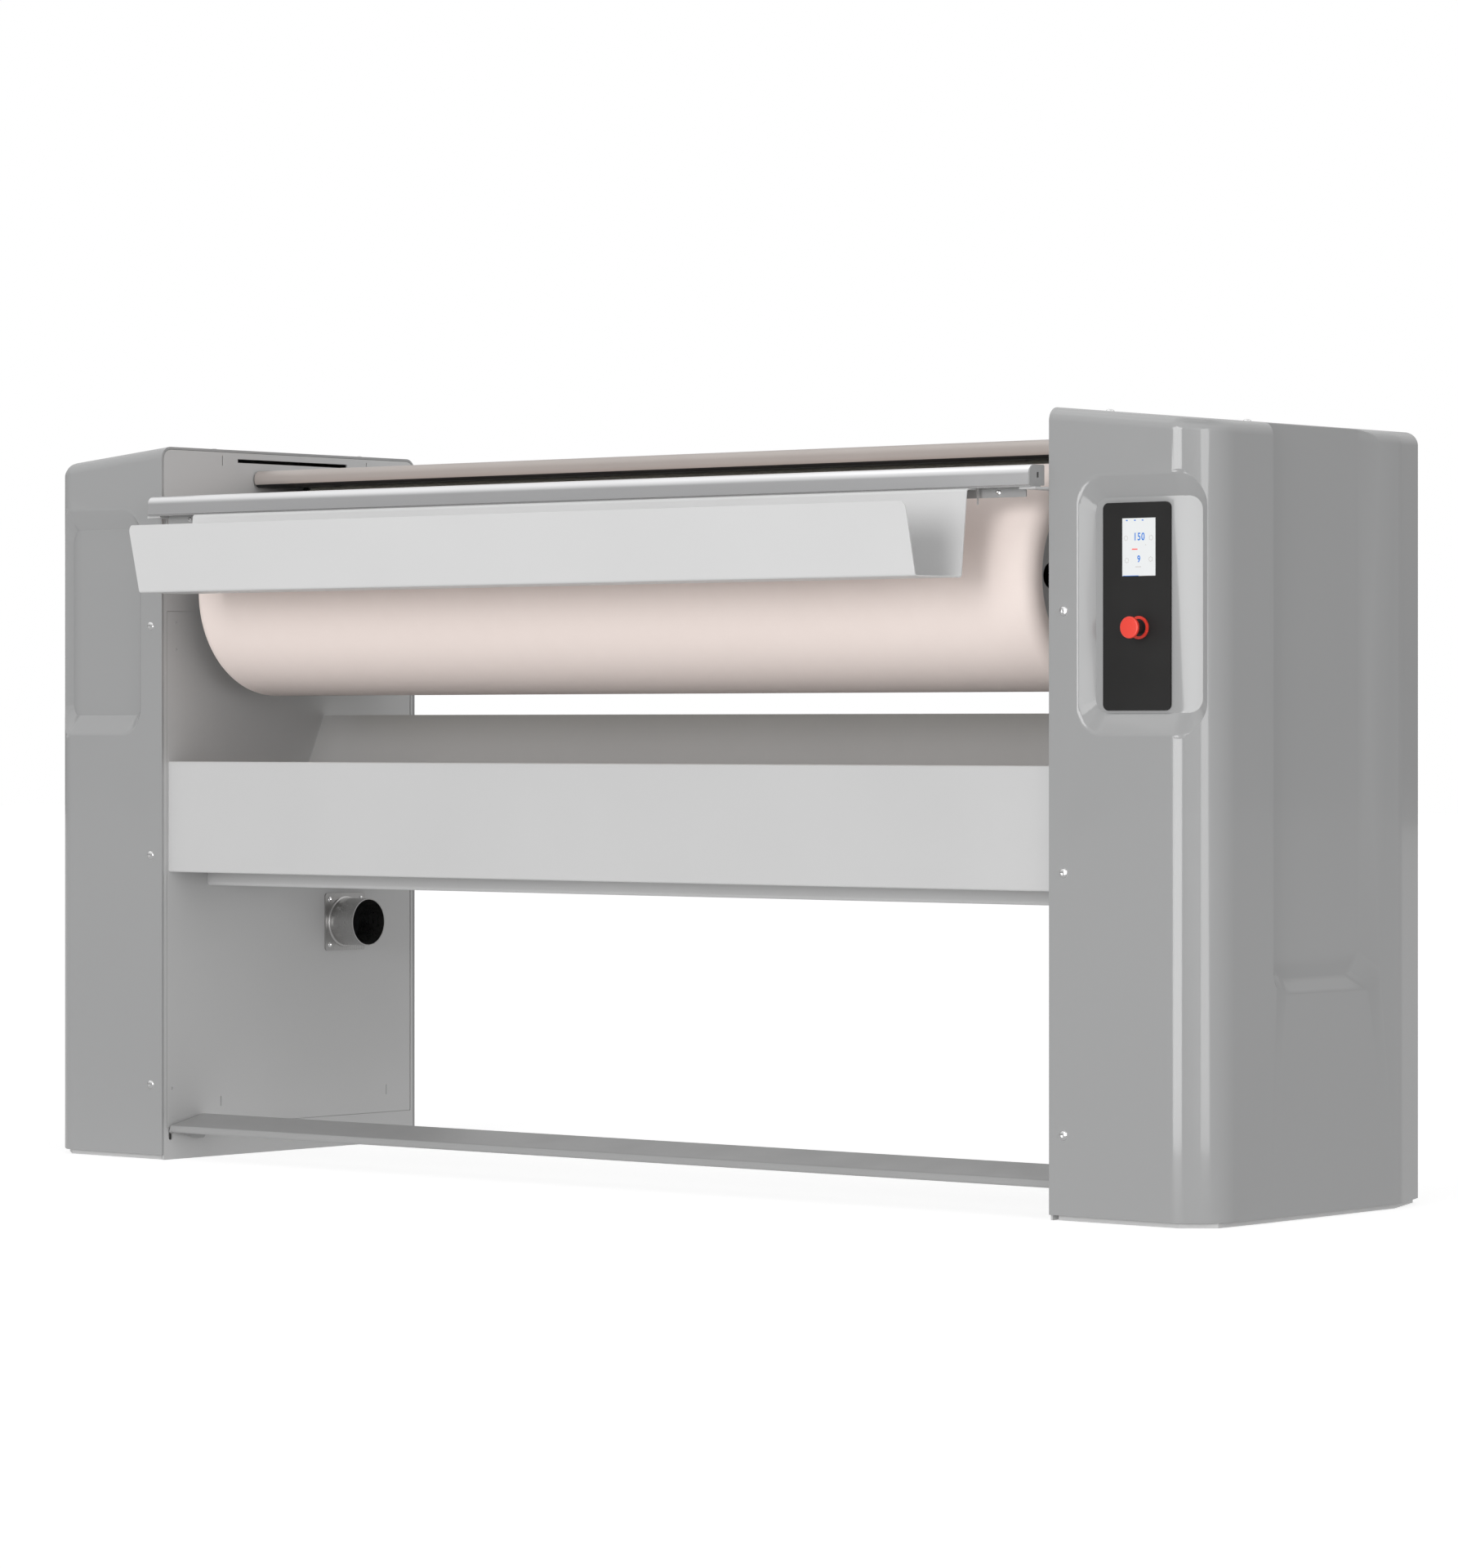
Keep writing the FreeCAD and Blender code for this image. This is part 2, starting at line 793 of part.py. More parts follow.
def make_service_panel():
    corners = round_box_corners(service_front + service_joint, service_low + service_joint,
                                service_back - service_back_joint, service_high - service_joint, 1.5)
    panel = prism(corners, in_section(opening_half), X * service_sheet)
    for y in (lower_tick_front, column_depth - lower_tick_back_gap):
        slot = box(opening_half - 1, y - tick_width / 2, lower_tick_z - tick_height / 2,
                   opening_half + 2 * service_sheet, y + tick_width / 2,
                   lower_tick_z + tick_height / 2)
        panel = panel.cut(slot)
    for y, z in pilot_holes:
        panel = panel.cut(rod(pilot_hole_r, Vector(opening_half - 1, y, z), X, 2 * service_sheet))
    return panel


def make_plinth():
    """Upside-down open channel under the column, with a floor plate for the anchors."""
    sides = len(column_plan())
    outer = [(opening_half + u, y) for u, y in inset_corners(column_plan(), [plinth_inset] * sides)]
    inner = inset_corners(outer, [plinth_sheet] * sides)
    shell = prism(sharp(outer), in_plan(0), Z * plinth_height)
    shell = shell.cut(prism(sharp(inner), in_plan(plinth_sheet), Z * plinth_height))
    for x, y in anchor_places():
        shell = shell.cut(rod(anchor_hole_r, Vector(x, y, -1), Z, 3 * plinth_sheet))
    return shell


def anchor_places():
    middle_x = opening_half + column_width / 2
    places = []
    for side_x in (-1, 1):
        for side_y in (-1, 1):
            places.append((middle_x + side_x * anchor_spacing_x / 2,
                           column_depth / 2 + side_y * anchor_spacing_y / 2))
    return places


def make_rear_panel():
    y = column_depth - cover_wall - rear_panel_sheet
    x0 = opening_half + rear_panel_near
    corners = round_box_corners(x0, rear_panel_low, x0 + rear_panel_width, rear_panel_high,
                                rear_panel_corner)
    panel = prism(corners, in_front(y), Y * rear_panel_sheet)
    middle = x0 + rear_panel_width / 2
    for row in range(louvre_rows):
        z = louvre_low + row * louvre_pitch
        slot = round_box_corners(middle - louvre_length / 2, z, middle + louvre_length / 2,
                                 z + louvre_height, louvre_height / 2 - 0.1)
        panel = panel.cut(prism(slot, in_front(y - 1), Y * (2 + rear_panel_sheet)))
    return panel


# ---------------------------------------------------------------- roll
def revolved(profile):
    """Solid of revolution about the roll's axis from (x, radius) corners."""
    face = Part.Face(outline(profile, lambda a, b: Vector(a, roll_y, roll_z + b)))
    return face.revolve(Vector(0, roll_y, roll_z), X, 360)


def make_roll_tube():
    return revolved(sharp([
        (-tube_half, roll_tube_inner_r), (tube_half, roll_tube_inner_r),
        (tube_half, roll_tube_r), (-tube_half, roll_tube_r),
    ]))


def make_padding():
    """Padding and cloth, drawn over the tube's ends as a soft lip."""
    return revolved([
        (-roll_half, padding_lip_r, 2), (-tube_half, padding_lip_r, 0), (-tube_half, roll_tube_r, 0),
        (tube_half, roll_tube_r, 0), (tube_half, padding_lip_r, 0), (roll_half, padding_lip_r, 2),
        (roll_half, roll_r, padding_round), (-roll_half, roll_r, padding_round),
    ])


def make_end_disc():
    x = tube_half - end_disc_inset - end_disc
    disc = rod(roll_tube_inner_r, Vector(x, roll_y, roll_z), X, end_disc)
    disc = disc.cut(rod(journal_bore_r, Vector(x - 1, roll_y, roll_z), X, end_disc + 2))
    for i in range(disc_holes):
        turn = 2 * math.pi * i / disc_holes
        y = roll_y + disc_hole_pcd_r * math.cos(turn)
        z = roll_z + disc_hole_pcd_r * math.sin(turn)
        disc = disc.cut(rod(disc_hole_r, Vector(x - 1, y, z), X, end_disc + 2))
    return disc


def make_journal(reach):
    x = tube_half - end_disc_inset
    flange = rod(journal_flange_r, Vector(x, roll_y, roll_z), X, journal_flange)
    length = opening_half + reach - x
    shaft = flange.fuse(rod(journal_r, Vector(x, roll_y, roll_z), X, length))
    return shaft.cut(rod(journal_bore_r, Vector(x - 1, roll_y, roll_z), X, length + 2))


def make_bearing():
    x = opening_half + frame_plate
    square = round_box_corners(roll_y - bearing_half_width, roll_z - bearing_half_width,
                               roll_y + bearing_half_width, roll_z + bearing_half_width, 14)
    body = prism(square, in_section(x), X * bearing_flange)
    boss_start = Vector(x + bearing_flange, roll_y, roll_z)
    body = body.fuse(Part.makeCone(bearing_boss_r + 6, bearing_boss_r, bearing_boss, boss_start, X))
    for side_y in (-1, 1):
        for side_z in (-1, 1):
            y = roll_y + side_y * bearing_bolt_offset
            z = roll_z + side_z * bearing_bolt_offset
            body = body.cut(rod(bearing_bolt_r, Vector(x - 1, y, z), X, bearing_flange + 2))
    bore = rod(journal_r + shaft_fit, Vector(x - 1, roll_y, roll_z), X, 2 + bearing_flange + bearing_boss)
    return body.cut(bore)


# ---------------------------------------------------------------- ribbed belt drive
def rib_line(radius, play):
    """Corners (x, radius) of the V ribs from left to right; play keeps the belt off its pulley."""
    run = rib_depth * math.tan(math.radians(rib_flank_deg))
    wide = groove_floor_half + run - play
    narrow = groove_floor_half - play
    corners = []
    for i in range(belt_ribs):
        middle = belt_plane + (i - (belt_ribs - 1) / 2) * rib_pitch
        corners.append((middle - wide, radius + play))
        corners.append((middle - narrow, radius - rib_depth + play))
        corners.append((middle + narrow, radius - rib_depth + play))
        corners.append((middle + wide, radius + play))
    return corners


def make_pulley(radius, centre_z, bore_r):
    """Grooved rim, web and hub, turned round the shaft at this height."""
    left = belt_plane - pulley_half
    right = belt_plane + pulley_half
    hub_r = bore_r + pulley_hub_wall
    rim_r = radius - rib_depth - pulley_rim
    webbed = rim_r > hub_r + pulley_web
    web_left = belt_plane - pulley_web / 2
    web_right = belt_plane + pulley_web / 2
    corners = [(left, radius)] + rib_line(radius, 0) + [(right, radius)]
    if webbed:
        corners += [(right, rim_r), (web_right, rim_r), (web_right, hub_r)]
    else:
        corners.append((right, hub_r))
    corners += [(right + pulley_hub, hub_r), (right + pulley_hub, bore_r), (left, bore_r)]
    if webbed:
        corners += [(left, hub_r), (web_left, hub_r), (web_left, rim_r), (left, rim_r)]
    face = Part.Face(outline(sharp(corners), lambda a, b: Vector(a, roll_y, centre_z + b)))
    return face.revolve(Vector(0, roll_y, centre_z), X, 360)


def belt_section(radius, centre_z, turn):
    """The belt's section where it leaves a pulley; turn is measured from straight up."""
    half = belt_ribs * rib_pitch / 2
    crown = radius + belt_play + belt_back
    foot = radius + belt_play
    corners = [(belt_plane - half, foot)] + rib_line(radius, belt_play)
    corners += [(belt_plane + half, foot), (belt_plane + half, crown), (belt_plane - half, crown)]
    spoke = Vector(0, math.sin(turn), math.cos(turn))
    centre = Vector(0, roll_y, centre_z)
    return Part.Face(outline(sharp(corners), lambda a, b: centre + X * a + spoke * b))


def make_belt():
    """Endless ribbed belt: an arc round each pulley and the two straight runs between them."""
    lean = math.asin((roll_pulley_r - motor_pulley_r) / drive_centres)
    leave = math.pi / 2 + lean
    upper = Vector(0, roll_y, roll_z)
    lower = Vector(0, roll_y, motor_z)
    front = belt_section(roll_pulley_r, roll_z, leave)
    top_arc = front.revolve(upper, X, math.degrees(2 * leave))
    low_face = belt_section(motor_pulley_r, motor_z, leave)
    low_arc = low_face.revolve(lower, X * -1, 360 - math.degrees(2 * leave))
    runs = []
    for turn in (leave, -leave):
        spoke = Vector(0, math.sin(turn), math.cos(turn))
        step = lower + spoke * motor_pulley_r - upper - spoke * roll_pulley_r
        runs.append(belt_section(roll_pulley_r, roll_z, turn).extrude(step))
    return top_arc.fuse([low_arc] + runs).removeSplitter()


def make_gear_motor():
    """Right-angle gearmotor on a bracket that bridges the belt."""
    x0 = gearbox_x
    y0 = roll_y - gearbox_depth / 2
    z0 = motor_z - gearbox_height / 2
    corners = round_box_corners(y0, z0, y0 + gearbox_depth, z0 + gearbox_height, gearbox_round)
    case = prism(corners, in_section(x0), X * gearbox_width)
    nose = Vector(x0 - motor_shaft_reach / 2, roll_y, motor_z)
    case = case.fuse(rod(motor_shaft_r * 1.9, nose, X, motor_shaft_reach / 2))
    motor_start = Vector(x0 + gearbox_width / 2, roll_y, z0)
    motor = rod(motor_r, motor_start, Z * -1, motor_length)
    for i in range(motor_fins):
        level = Vector(motor_start.x, roll_y, z0 - motor_length * (i + 1.5) / (motor_fins + 2))
        ring = pipe(motor_r + 1, motor_r - fin_depth, level, Z * -1, fin_width)
        motor = motor.cut(ring)
    inner = opening_half + frame_plate
    arms = []
    arm_y = gearbox_depth / 2 + bracket_arm_clearance
    for side in (-1, 1):
        low = min(side * arm_y, side * (arm_y - bracket_sheet)) + roll_y
        arms.append(box(inner, low, z0, x0, low + bracket_sheet, z0 + gearbox_height))
    face = box(x0 - bracket_sheet, roll_y - arm_y, z0, x0, roll_y + arm_y, z0 + gearbox_height)
    face = face.cut(rod(motor_shaft_r * 2.2, Vector(x0 - 2 * bracket_sheet, roll_y, motor_z),
                        X, 3 * bracket_sheet))
    bracket = face.fuse(arms)
    shaft_hole = rod(motor_shaft_r + shaft_fit, Vector(x0 - motor_shaft_reach, roll_y, motor_z),
                     X, 2 * motor_shaft_reach)
    return case.fuse(motor).cut(shaft_hole), bracket


def make_motor_shaft():
    start = belt_plane - pulley_half - 1
    end = gearbox_x + motor_shaft_reach - 2
    return rod(motor_shaft_r, Vector(start, roll_y, motor_z), X, end - start)


# ---------------------------------------------------------------- heated chest
def on_roll(radius, degrees, x=0.0):
    """Point round the roll: 0 degrees faces straight back, 90 degrees straight up."""
    turn = math.radians(degrees)
    return Vector(x, roll_y + radius * math.cos(turn), roll_z + radius * math.sin(turn))


def roll_arc_shell(inner_r, outer_r, low_deg, high_deg, half_length):
    """Part of a pipe round the roll between two angles."""
    middle = (low_deg + high_deg) / 2
    start = -half_length
    a = on_roll(inner_r, low_deg, start)
    b = on_roll(inner_r, high_deg, start)
    c = on_roll(outer_r, high_deg, start)
    d = on_roll(outer_r, low_deg, start)
    edges = [
        Part.Arc(a, on_roll(inner_r, middle, start), b).toShape(),
        Part.makeLine(b, c),
        Part.Arc(c, on_roll(outer_r, middle, start), d).toShape(),
        Part.makeLine(d, a),
    ]
    return Part.Face(Part.Wire(edges)).extrude(X * (2 * half_length))


def make_chest():
    """Polished shoe round the back of the roll, with bores for the rod heaters."""
    inner = roll_r + chest_gap
    chest = roll_arc_shell(inner, inner + chest_thickness, -chest_bottom_deg, chest_top_deg, chest_half)
    rib_r = inner + chest_thickness
    for degrees in heater_angles():
        seat = on_roll(rib_r, degrees, -chest_half)
        chest = chest.fuse(rod(heater_r + 4, seat, X, 2 * chest_half))
    ring = roll_arc_shell(inner - 20, inner, -chest_bottom_deg - 20, chest_top_deg + 20, chest_half + 1)
    chest = chest.cut(ring)
    for degrees in heater_angles():
        seat = on_roll(rib_r, degrees, -chest_half - 1)
        chest = chest.cut(rod(heater_r, seat, X, 2 * chest_half + 2))
    return chest


def heater_angles():
    low = -chest_bottom_deg + 10
    high = chest_top_deg - 10
    return [low + (high - low) * i / (heater_count - 1) for i in range(heater_count)]


def make_heaters():
    rods = []
    rib_r = roll_r + chest_gap + chest_thickness
    for degrees in heater_angles():
        seat = on_roll(rib_r, degrees, -chest_half - heater_end)
        rods.append(rod(heater_r - shaft_fit, seat, X, 2 * (chest_half + heater_end)))
    return Part.makeCompound(rods)


def make_insulation():
    inner = roll_r + chest_gap + chest_thickness + heater_r + 4.3
    return roll_arc_shell(inner, inner + insulation_thickness, -chest_bottom_deg + insulation_margin_deg,
                          chest_top_deg - insulation_margin_deg, chest_half - chest_end_plate - 1)


def make_chest_end():
    """End plate of the chest with the stud that passes through the side frame."""
    inner = roll_r + chest_gap + 1
    outer = inner + chest_thickness + heater_r + 4.3 + insulation_thickness
    plate = roll_arc_shell(inner, outer, -chest_end_bottom_deg, chest_end_top_deg, chest_end_plate / 2)
    plate.translate(X * (chest_half + chest_end_plate / 2))
    holes = []
    rib_r = roll_r + chest_gap + chest_thickness
    for degrees in heater_angles():
        seat = on_roll(rib_r, degrees, chest_half - 1)
        holes.append(rod(heater_r + cover_fit, seat, X, chest_end_plate + 2))
    plate = plate.cut(holes)
    lug = prism(round_box_corners(stud_y - 1.4 * stud_r, stud_z - 2 * stud_r, stud_y + 1.4 * stud_r,
                                  stud_z + 2 * stud_r, 6),
                in_section(chest_half), X * chest_end_plate)
    end = opening_half + arm_offset + arm_thickness + 4
    stud = rod(stud_r, Vector(chest_half, stud_y, stud_z), X, end - chest_half)
    return plate.fuse([lug, stud])


def arm_direction():
    lean = Vector(0, stud_y - pivot_y, stud_z - pivot_z).normalize()
    return lean, Vector(0, lean.z, -lean.y)


def make_arm():
    """Pressure arm from its pivot up to the chest's stud, slotted for the spindle's pin."""
    x = opening_half + arm_offset
    along, across = arm_direction()
    low = Vector(x, pivot_y, pivot_z)
    high = Vector(x, stud_y, stud_z)
    taper = arm_half_width * 0.78
    a = low + across * arm_half_width
    b = high + across * taper
    c = high - across * taper
    d = low - across * arm_half_width
    edges = [
        Part.makeLine(a, b),
        Part.Arc(b, high + along * taper, c).toShape(),
        Part.makeLine(c, d),
        Part.Arc(d, low - along * arm_half_width, a).toShape(),
    ]
    arm = Part.Face(Part.Wire(edges)).extrude(X * arm_thickness)
    arm = arm.cut(rod(pivot_pin_r + shaft_fit, low - X, X, arm_thickness + 2))
    arm = arm.cut(rod(stud_r + shaft_fit, high - X, X, arm_thickness + 2))
    slot_y = press_pin_y()
    clear = press_pin_r + slot_clearance
    slot = round_box_corners(slot_y - clear, press_z - clear - 2, slot_y + clear, press_z + clear + 2,
                             clear - 0.1)
    return arm.cut(prism(slot, in_section(x - 1), X * (arm_thickness + 2)))


def press_pin_y():
    return pivot_y + (stud_y - pivot_y) * (press_z - pivot_z) / (stud_z - pivot_z)


def make_pivot_pin():
    start = opening_half + frame_plate
    pin = rod(pivot_pin_r, Vector(start, pivot_y, pivot_z), X, arm_offset + arm_thickness + 6 - frame_plate)
    collar = rod(pivot_pin_r + 8, Vector(start, pivot_y, pivot_z), X, arm_offset - frame_plate - 0.4)
    return pin.fuse(collar)


def make_press_rod():
    """Spindle with its fork pin; it pushes the arm along y."""
    x = opening_half + arm_offset + arm_thickness + 1 + press_rod_r
    y = press_pin_y()
    eye = prism(round_box_corners(y - 12, press_z - 12, y + 12, press_z + 12, 6),
                in_section(opening_half + arm_offset + arm_thickness + 1), X * (2 * press_rod_r))
    start = Vector(x, y, press_z)
    spindle = rod(press_rod_r, start, Y, press_body_start() + press_body_length - 4 - y)
    pin = rod(press_pin_r, Vector(opening_half + arm_offset - 2, y, press_z), X,
              arm_thickness + 3 + press_rod_r)
    return eye.fuse([spindle, pin])


def press_body_start():
    return column_depth - press_body_back_gap - press_body_length


def make_press_actuator():
    """Spindle drive's housing with the foot that bolts it to the side frame."""
    x = opening_half + arm_offset + arm_thickness + 1 + press_rod_r
    y = press_body_start()
    housing = rod(press_body_r, Vector(x, y, press_z), Y, press_body_length)
    geared = prism(round_box_corners(x - press_body_r, y + press_body_length * 0.45, x + 2.4 * press_body_r,
                                     y + press_body_length, 6),
                   in_plan(press_z - press_body_r - 4), Z * (2 * press_body_r + 8))
    foot = box(opening_half + frame_plate, y + 8, press_z - press_body_r - 12,
               x - press_body_r * 0.6, y + press_body_length - 4, press_z + press_body_r + 12)
    body = housing.fuse([geared, foot])
    bore = rod(press_rod_r + shaft_fit, Vector(x, y - 1, press_z), Y, press_body_length + 20)
    return body.cut(bore)


# ---------------------------------------------------------------- hood and finger guard
def make_hood():
    """Folded cover over the chest, from behind the finger guard down the back."""
    start = guard_back + guard_swing_clearance
    path = [(hood_back - 26, hood_bottom - 6), (hood_back, hood_bottom + 10), (hood_back, hood_top),
            (start, hood_top), (start, guard_low + 9)]
    return folded_sheet(path, hood_sheet, hood_bend, in_section(-opening_half), X * (2 * opening_half))


def make_hood_liner():
    """Black heat shield under the hood, seen through the slot behind the finger guard."""
    front = guard_back + guard_swing_clearance + hood_sheet + hood_bend
    back = hood_back - hood_sheet - hood_bend
    low = hood_top - hood_sheet - liner_thickness
    return box(-opening_half, front, low, opening_half, back, low + liner_thickness)


def make_finger_guard():
    """Hollow rounded bar in front of the feed slot, with its end pins."""
    half = opening_half - guard_end_gap
    outer = [(guard_front, guard_low, guard_round), (guard_back, guard_low, 2),
             (guard_back, hood_top, 2), (guard_front, hood_top, guard_round)]
    inner = [(guard_front + guard_sheet, guard_low + guard_sheet, guard_round - guard_sheet),
             (guard_back - guard_sheet, guard_low + guard_sheet, 1),
             (guard_back - guard_sheet, hood_top - guard_sheet, 1),
             (guard_front + guard_sheet, hood_top - guard_sheet, guard_round - guard_sheet)]
    bar = prism(outer, in_section(-half), X * (2 * half))
    bar = bar.cut(prism(inner, in_section(-half + 2), X * (2 * half - 4)))
    pins = []
    for side in (-1, 1):
        start = Vector(side * (half - 8), guard_back - guard_pin_inset, guard_pin_z())
        pins.append(rod(guard_pin_r, start, X * side, 8 + guard_end_gap + frame_plate + 4))
    return bar.fuse(pins)


# ---------------------------------------------------------------- feed rail and trough
def rail_profile(gap):
    return [(rail_front + gap, rail_low + gap, 1), (rail_back - gap, rail_low + gap, 1),
            (rail_back - gap, rail_high - gap, 2), (rail_front + gap, rail_high - gap, rail_round - gap)]


def make_feed_rail():
    half = opening_half - rail_end_gap - cap_thickness
    rail = prism(rail_profile(0), in_section(-half), X * (2 * half))
    return rail.cut(prism(rail_profile(rail_wall), in_section(-half - 1), X * (2 * half + 2)))


def make_rail_cap():
    half = opening_half - rail_end_gap - cap_thickness
    cap = prism(rail_profile(0), in_section(half), X * cap_thickness)
    y = (rail_front + rail_back) / 2 + 2
    z = (rail_low + rail_high) / 2
    slot = box(half - 1, y - cap_slot_width / 2, z - cap_slot_height / 2,
               half + cap_thickness + 1, y + cap_slot_width / 2, z + cap_slot_height / 2)
    return cap.cut(slot)


def make_mount_strip():
    """Strip under the rail with a stiffening web: it carries the rail and the trough."""
    half = opening_half - rail_end_gap
    web_half = opening_half - hanger_width - 1
    low = rail_low - strip_sheet
    back = rail_back - strip_web_inset
    flat = box(-half, rail_front + 3, low, half, back, rail_low)
    web = box(-web_half, back - strip_sheet, low - strip_web, web_half, back, rail_low)
    strip = flat.fuse(web)
    for side in (-1, 1):
        start = Vector(side * strip_bolt_x, back - strip_sheet - 1, low - strip_bolt_drop)
        strip = strip.cut(rod(small_screw_shank_r + shaft_fit, start, Y, strip_sheet + 2))
    return strip


def make_hanger():
    """Angle on the side frame's inner face that holds the strip's end."""
    outer = opening_half
    inner = outer - hanger_width
    low = rail_low - strip_sheet - hanger_sheet
    plate = box(inner, rail_front + 6, low, outer, hanger_back, low + hanger_sheet)
    web = box(outer - hanger_sheet, frame_front + 4, low - hanger_drop, outer, hanger_back, low + 1)
    return plate.fuse(web)


def make_trough():
    """Folded feed trough, open at both ends, with rounded corners on its front wall."""
    path = [(trough_lip_front, trough_high), (trough_floor_front, trough_low),
            (trough_floor_back, trough_low), (trough_back_top, rail_low - strip_sheet - trough_sheet),
            (rail_back - strip_web_inset - strip_sheet - 1, rail_low - strip_sheet - trough_sheet)]
    sheet = folded_sheet(path, trough_sheet, trough_bend, in_section(-trough_half), X * (2 * trough_half))
    top = trough_high + trough_sheet
    front = [(-trough_half, trough_low - 1, 0), (trough_half, trough_low - 1, 0),
             (trough_half, top, trough_corner), (-trough_half, top, trough_corner)]
    keep = prism(front, in_front(trough_lip_front - 2), Y * (trough_floor_front - trough_lip_front + 4))
    rest = box(-trough_half - 1, trough_floor_front, trough_low - 2, trough_half + 1, 0, rail_high)
    return sheet.common(keep.fuse(rest))


# ---------------------------------------------------------------- fascia, beam and tray
def make_fascia():
    half = opening_half
    path = [(fascia_front + fascia_bottom_return, fascia_low), (fascia_front, fascia_low),
            (fascia_front, fascia_high), (fascia_front + fascia_top_return, fascia_high)]
    return folded_sheet(path[::-1], fascia_sheet, fascia_bend, in_section(-half), X * (2 * half))


def make_beam():
    half = opening_half
    outer = round_box_corners(beam_front, beam_low, beam_back, beam_high, 5)
    inner = round_box_corners(beam_front + beam_wall, beam_low + beam_wall,
                              beam_back - beam_wall, beam_high - beam_wall, 2)
    beam = prism(outer, in_section(-half), X * (2 * half))
    return beam.cut(prism(inner, in_section(-half - 1), X * (2 * half + 2)))


def make_tray():
    """Folded linen tray: sloped back plate, shallow floor and a front wall behind the fascia."""
    half = opening_half - tray_end_gap
    top = fascia_high - fascia_sheet - 0.5
    path = [(tray_front_y - 6, top), (tray_front_y, beam_high + tray_front_rise), (beam_front, beam_high),
            (beam_back, beam_high), (tray_knee_y, tray_knee_z), (tray_top_y, tray_top_z)]
    sheet = folded_sheet(path, tray_sheet, tray_bend, in_section(-half), X * (2 * half))
    return sheet


# ---------------------------------------------------------------- treadle
def make_treadle():
    """Full-width foot bar: sloped plate, rolled lip and cheeks with pivot and stop pins."""
    path = [(treadle_back_y, treadle_back_z), (treadle_lip_y, treadle_lip_z),
            (treadle_lip_y - 3, treadle_lip_z - treadle_lip_drop),
            (treadle_lip_y + treadle_hem, treadle_lip_z - treadle_lip_drop - 1)]
    half = treadle_half - treadle_cheek_gap - treadle_cheek
    bar = folded_sheet(path, treadle_sheet, 2.2, in_section(-half), X * (2 * half))
    cheek_corners = [
        (treadle_back_y, treadle_back_z, 1), (treadle_lip_y, treadle_lip_z, 3),
        (treadle_lip_y - 3, treadle_lip_z - treadle_lip_drop, 3),
        (treadle_lip_y + treadle_hem, treadle_lip_z - treadle_lip_drop - 1, 3),
        (treadle_pivot_y - 8, treadle_pivot_z - 8, 5), (treadle_back_y + 3, treadle_pivot_z - 8, 5),
    ]
    pieces = []
    for side in (-1, 1):
        x = half if side > 0 else -half - treadle_cheek
        pieces.append(prism(cheek_corners, in_section(x), X * treadle_cheek))
        start = side * (half + treadle_cheek / 2)
        reach = opening_half + frame_plate + 5 - abs(start)
        pieces.append(rod(treadle_pin_r, Vector(start, treadle_pivot_y, treadle_pivot_z), X * side, reach))
        pieces.append(rod(treadle_stop_r, Vector(start, treadle_stop_y, treadle_stop_z), X * side, reach))
    return bar.fuse(pieces)


# ---------------------------------------------------------------- exhaust
def make_spigot():
    """Square flange with a beaded tube, on the left column's inner face."""
    face = -opening_half
    square = round_box_corners(spigot_y - spigot_flange / 2, spigot_z - spigot_flange / 2,
                               spigot_y + spigot_flange / 2, spigot_z + spigot_flange / 2,
                               spigot_flange_corner)
    flange = prism(square, in_section(face), X * spigot_flange_sheet)
    centre = Vector(face - service_sheet, spigot_y, spigot_z)
    front = Vector(face + spigot_flange_sheet, spigot_y, spigot_z)
    neck = rod(spigot_r - cover_fit, centre, X, service_sheet + spigot_flange_sheet)
    tube = rod(spigot_r, front, X, spigot_reach - spigot_flange_sheet)
    bead = Part.makeTorus(spigot_r, spigot_bead, front, X)
    bead = bead.common(rod(spigot_flange, front, X, spigot_bead + 1))
    body = flange.fuse([neck, tube, bead])
    for dy, dz in spigot_bolts():
        hole = rod(small_screw_shank_r + shaft_fit, Vector(face - 1, spigot_y + dy, spigot_z + dz),
                   X, 2 + spigot_flange_sheet)
        body = body.cut(hole)
    return body.cut(rod(spigot_r - spigot_wall, centre - X, X, spigot_reach + 4 * service_sheet))


def spigot_bolts():
    return [(a * spigot_bolt_offset, b * spigot_bolt_offset) for a in (-1, 1) for b in (-1, 1)]


def blower_centre():
    return Vector(-opening_half - blower_offset, spigot_y - blower_width / 2, spigot_z - blower_drop)


def blower_form(gap):
    """Scroll with a tangential outlet that ends on the service panel."""
    centre = blower_centre() + Y * gap
    width = blower_width - 2 * gap
    scroll = rod(blower_scroll_r - gap, centre, Y, width)
    outlet_high = centre.z + blower_scroll_r - gap
    outlet_low = spigot_z - spigot_r - blower_wall + gap
    outlet = box(centre.x, centre.y, outlet_low, -opening_half - service_sheet + gap,
                 centre.y + width, outlet_high)
    return scroll.fuse(outlet)


def make_blower():
    body = blower_form(0).cut(blower_form(blower_wall))
    centre = blower_centre()
    inlet = rod(blower_inlet_r, centre - Y, Y, blower_wall + 2)
    shaft = rod(blower_shaft_r + 1, centre, Y, blower_width + 2)
    return body.cut(inlet).cut(shaft)


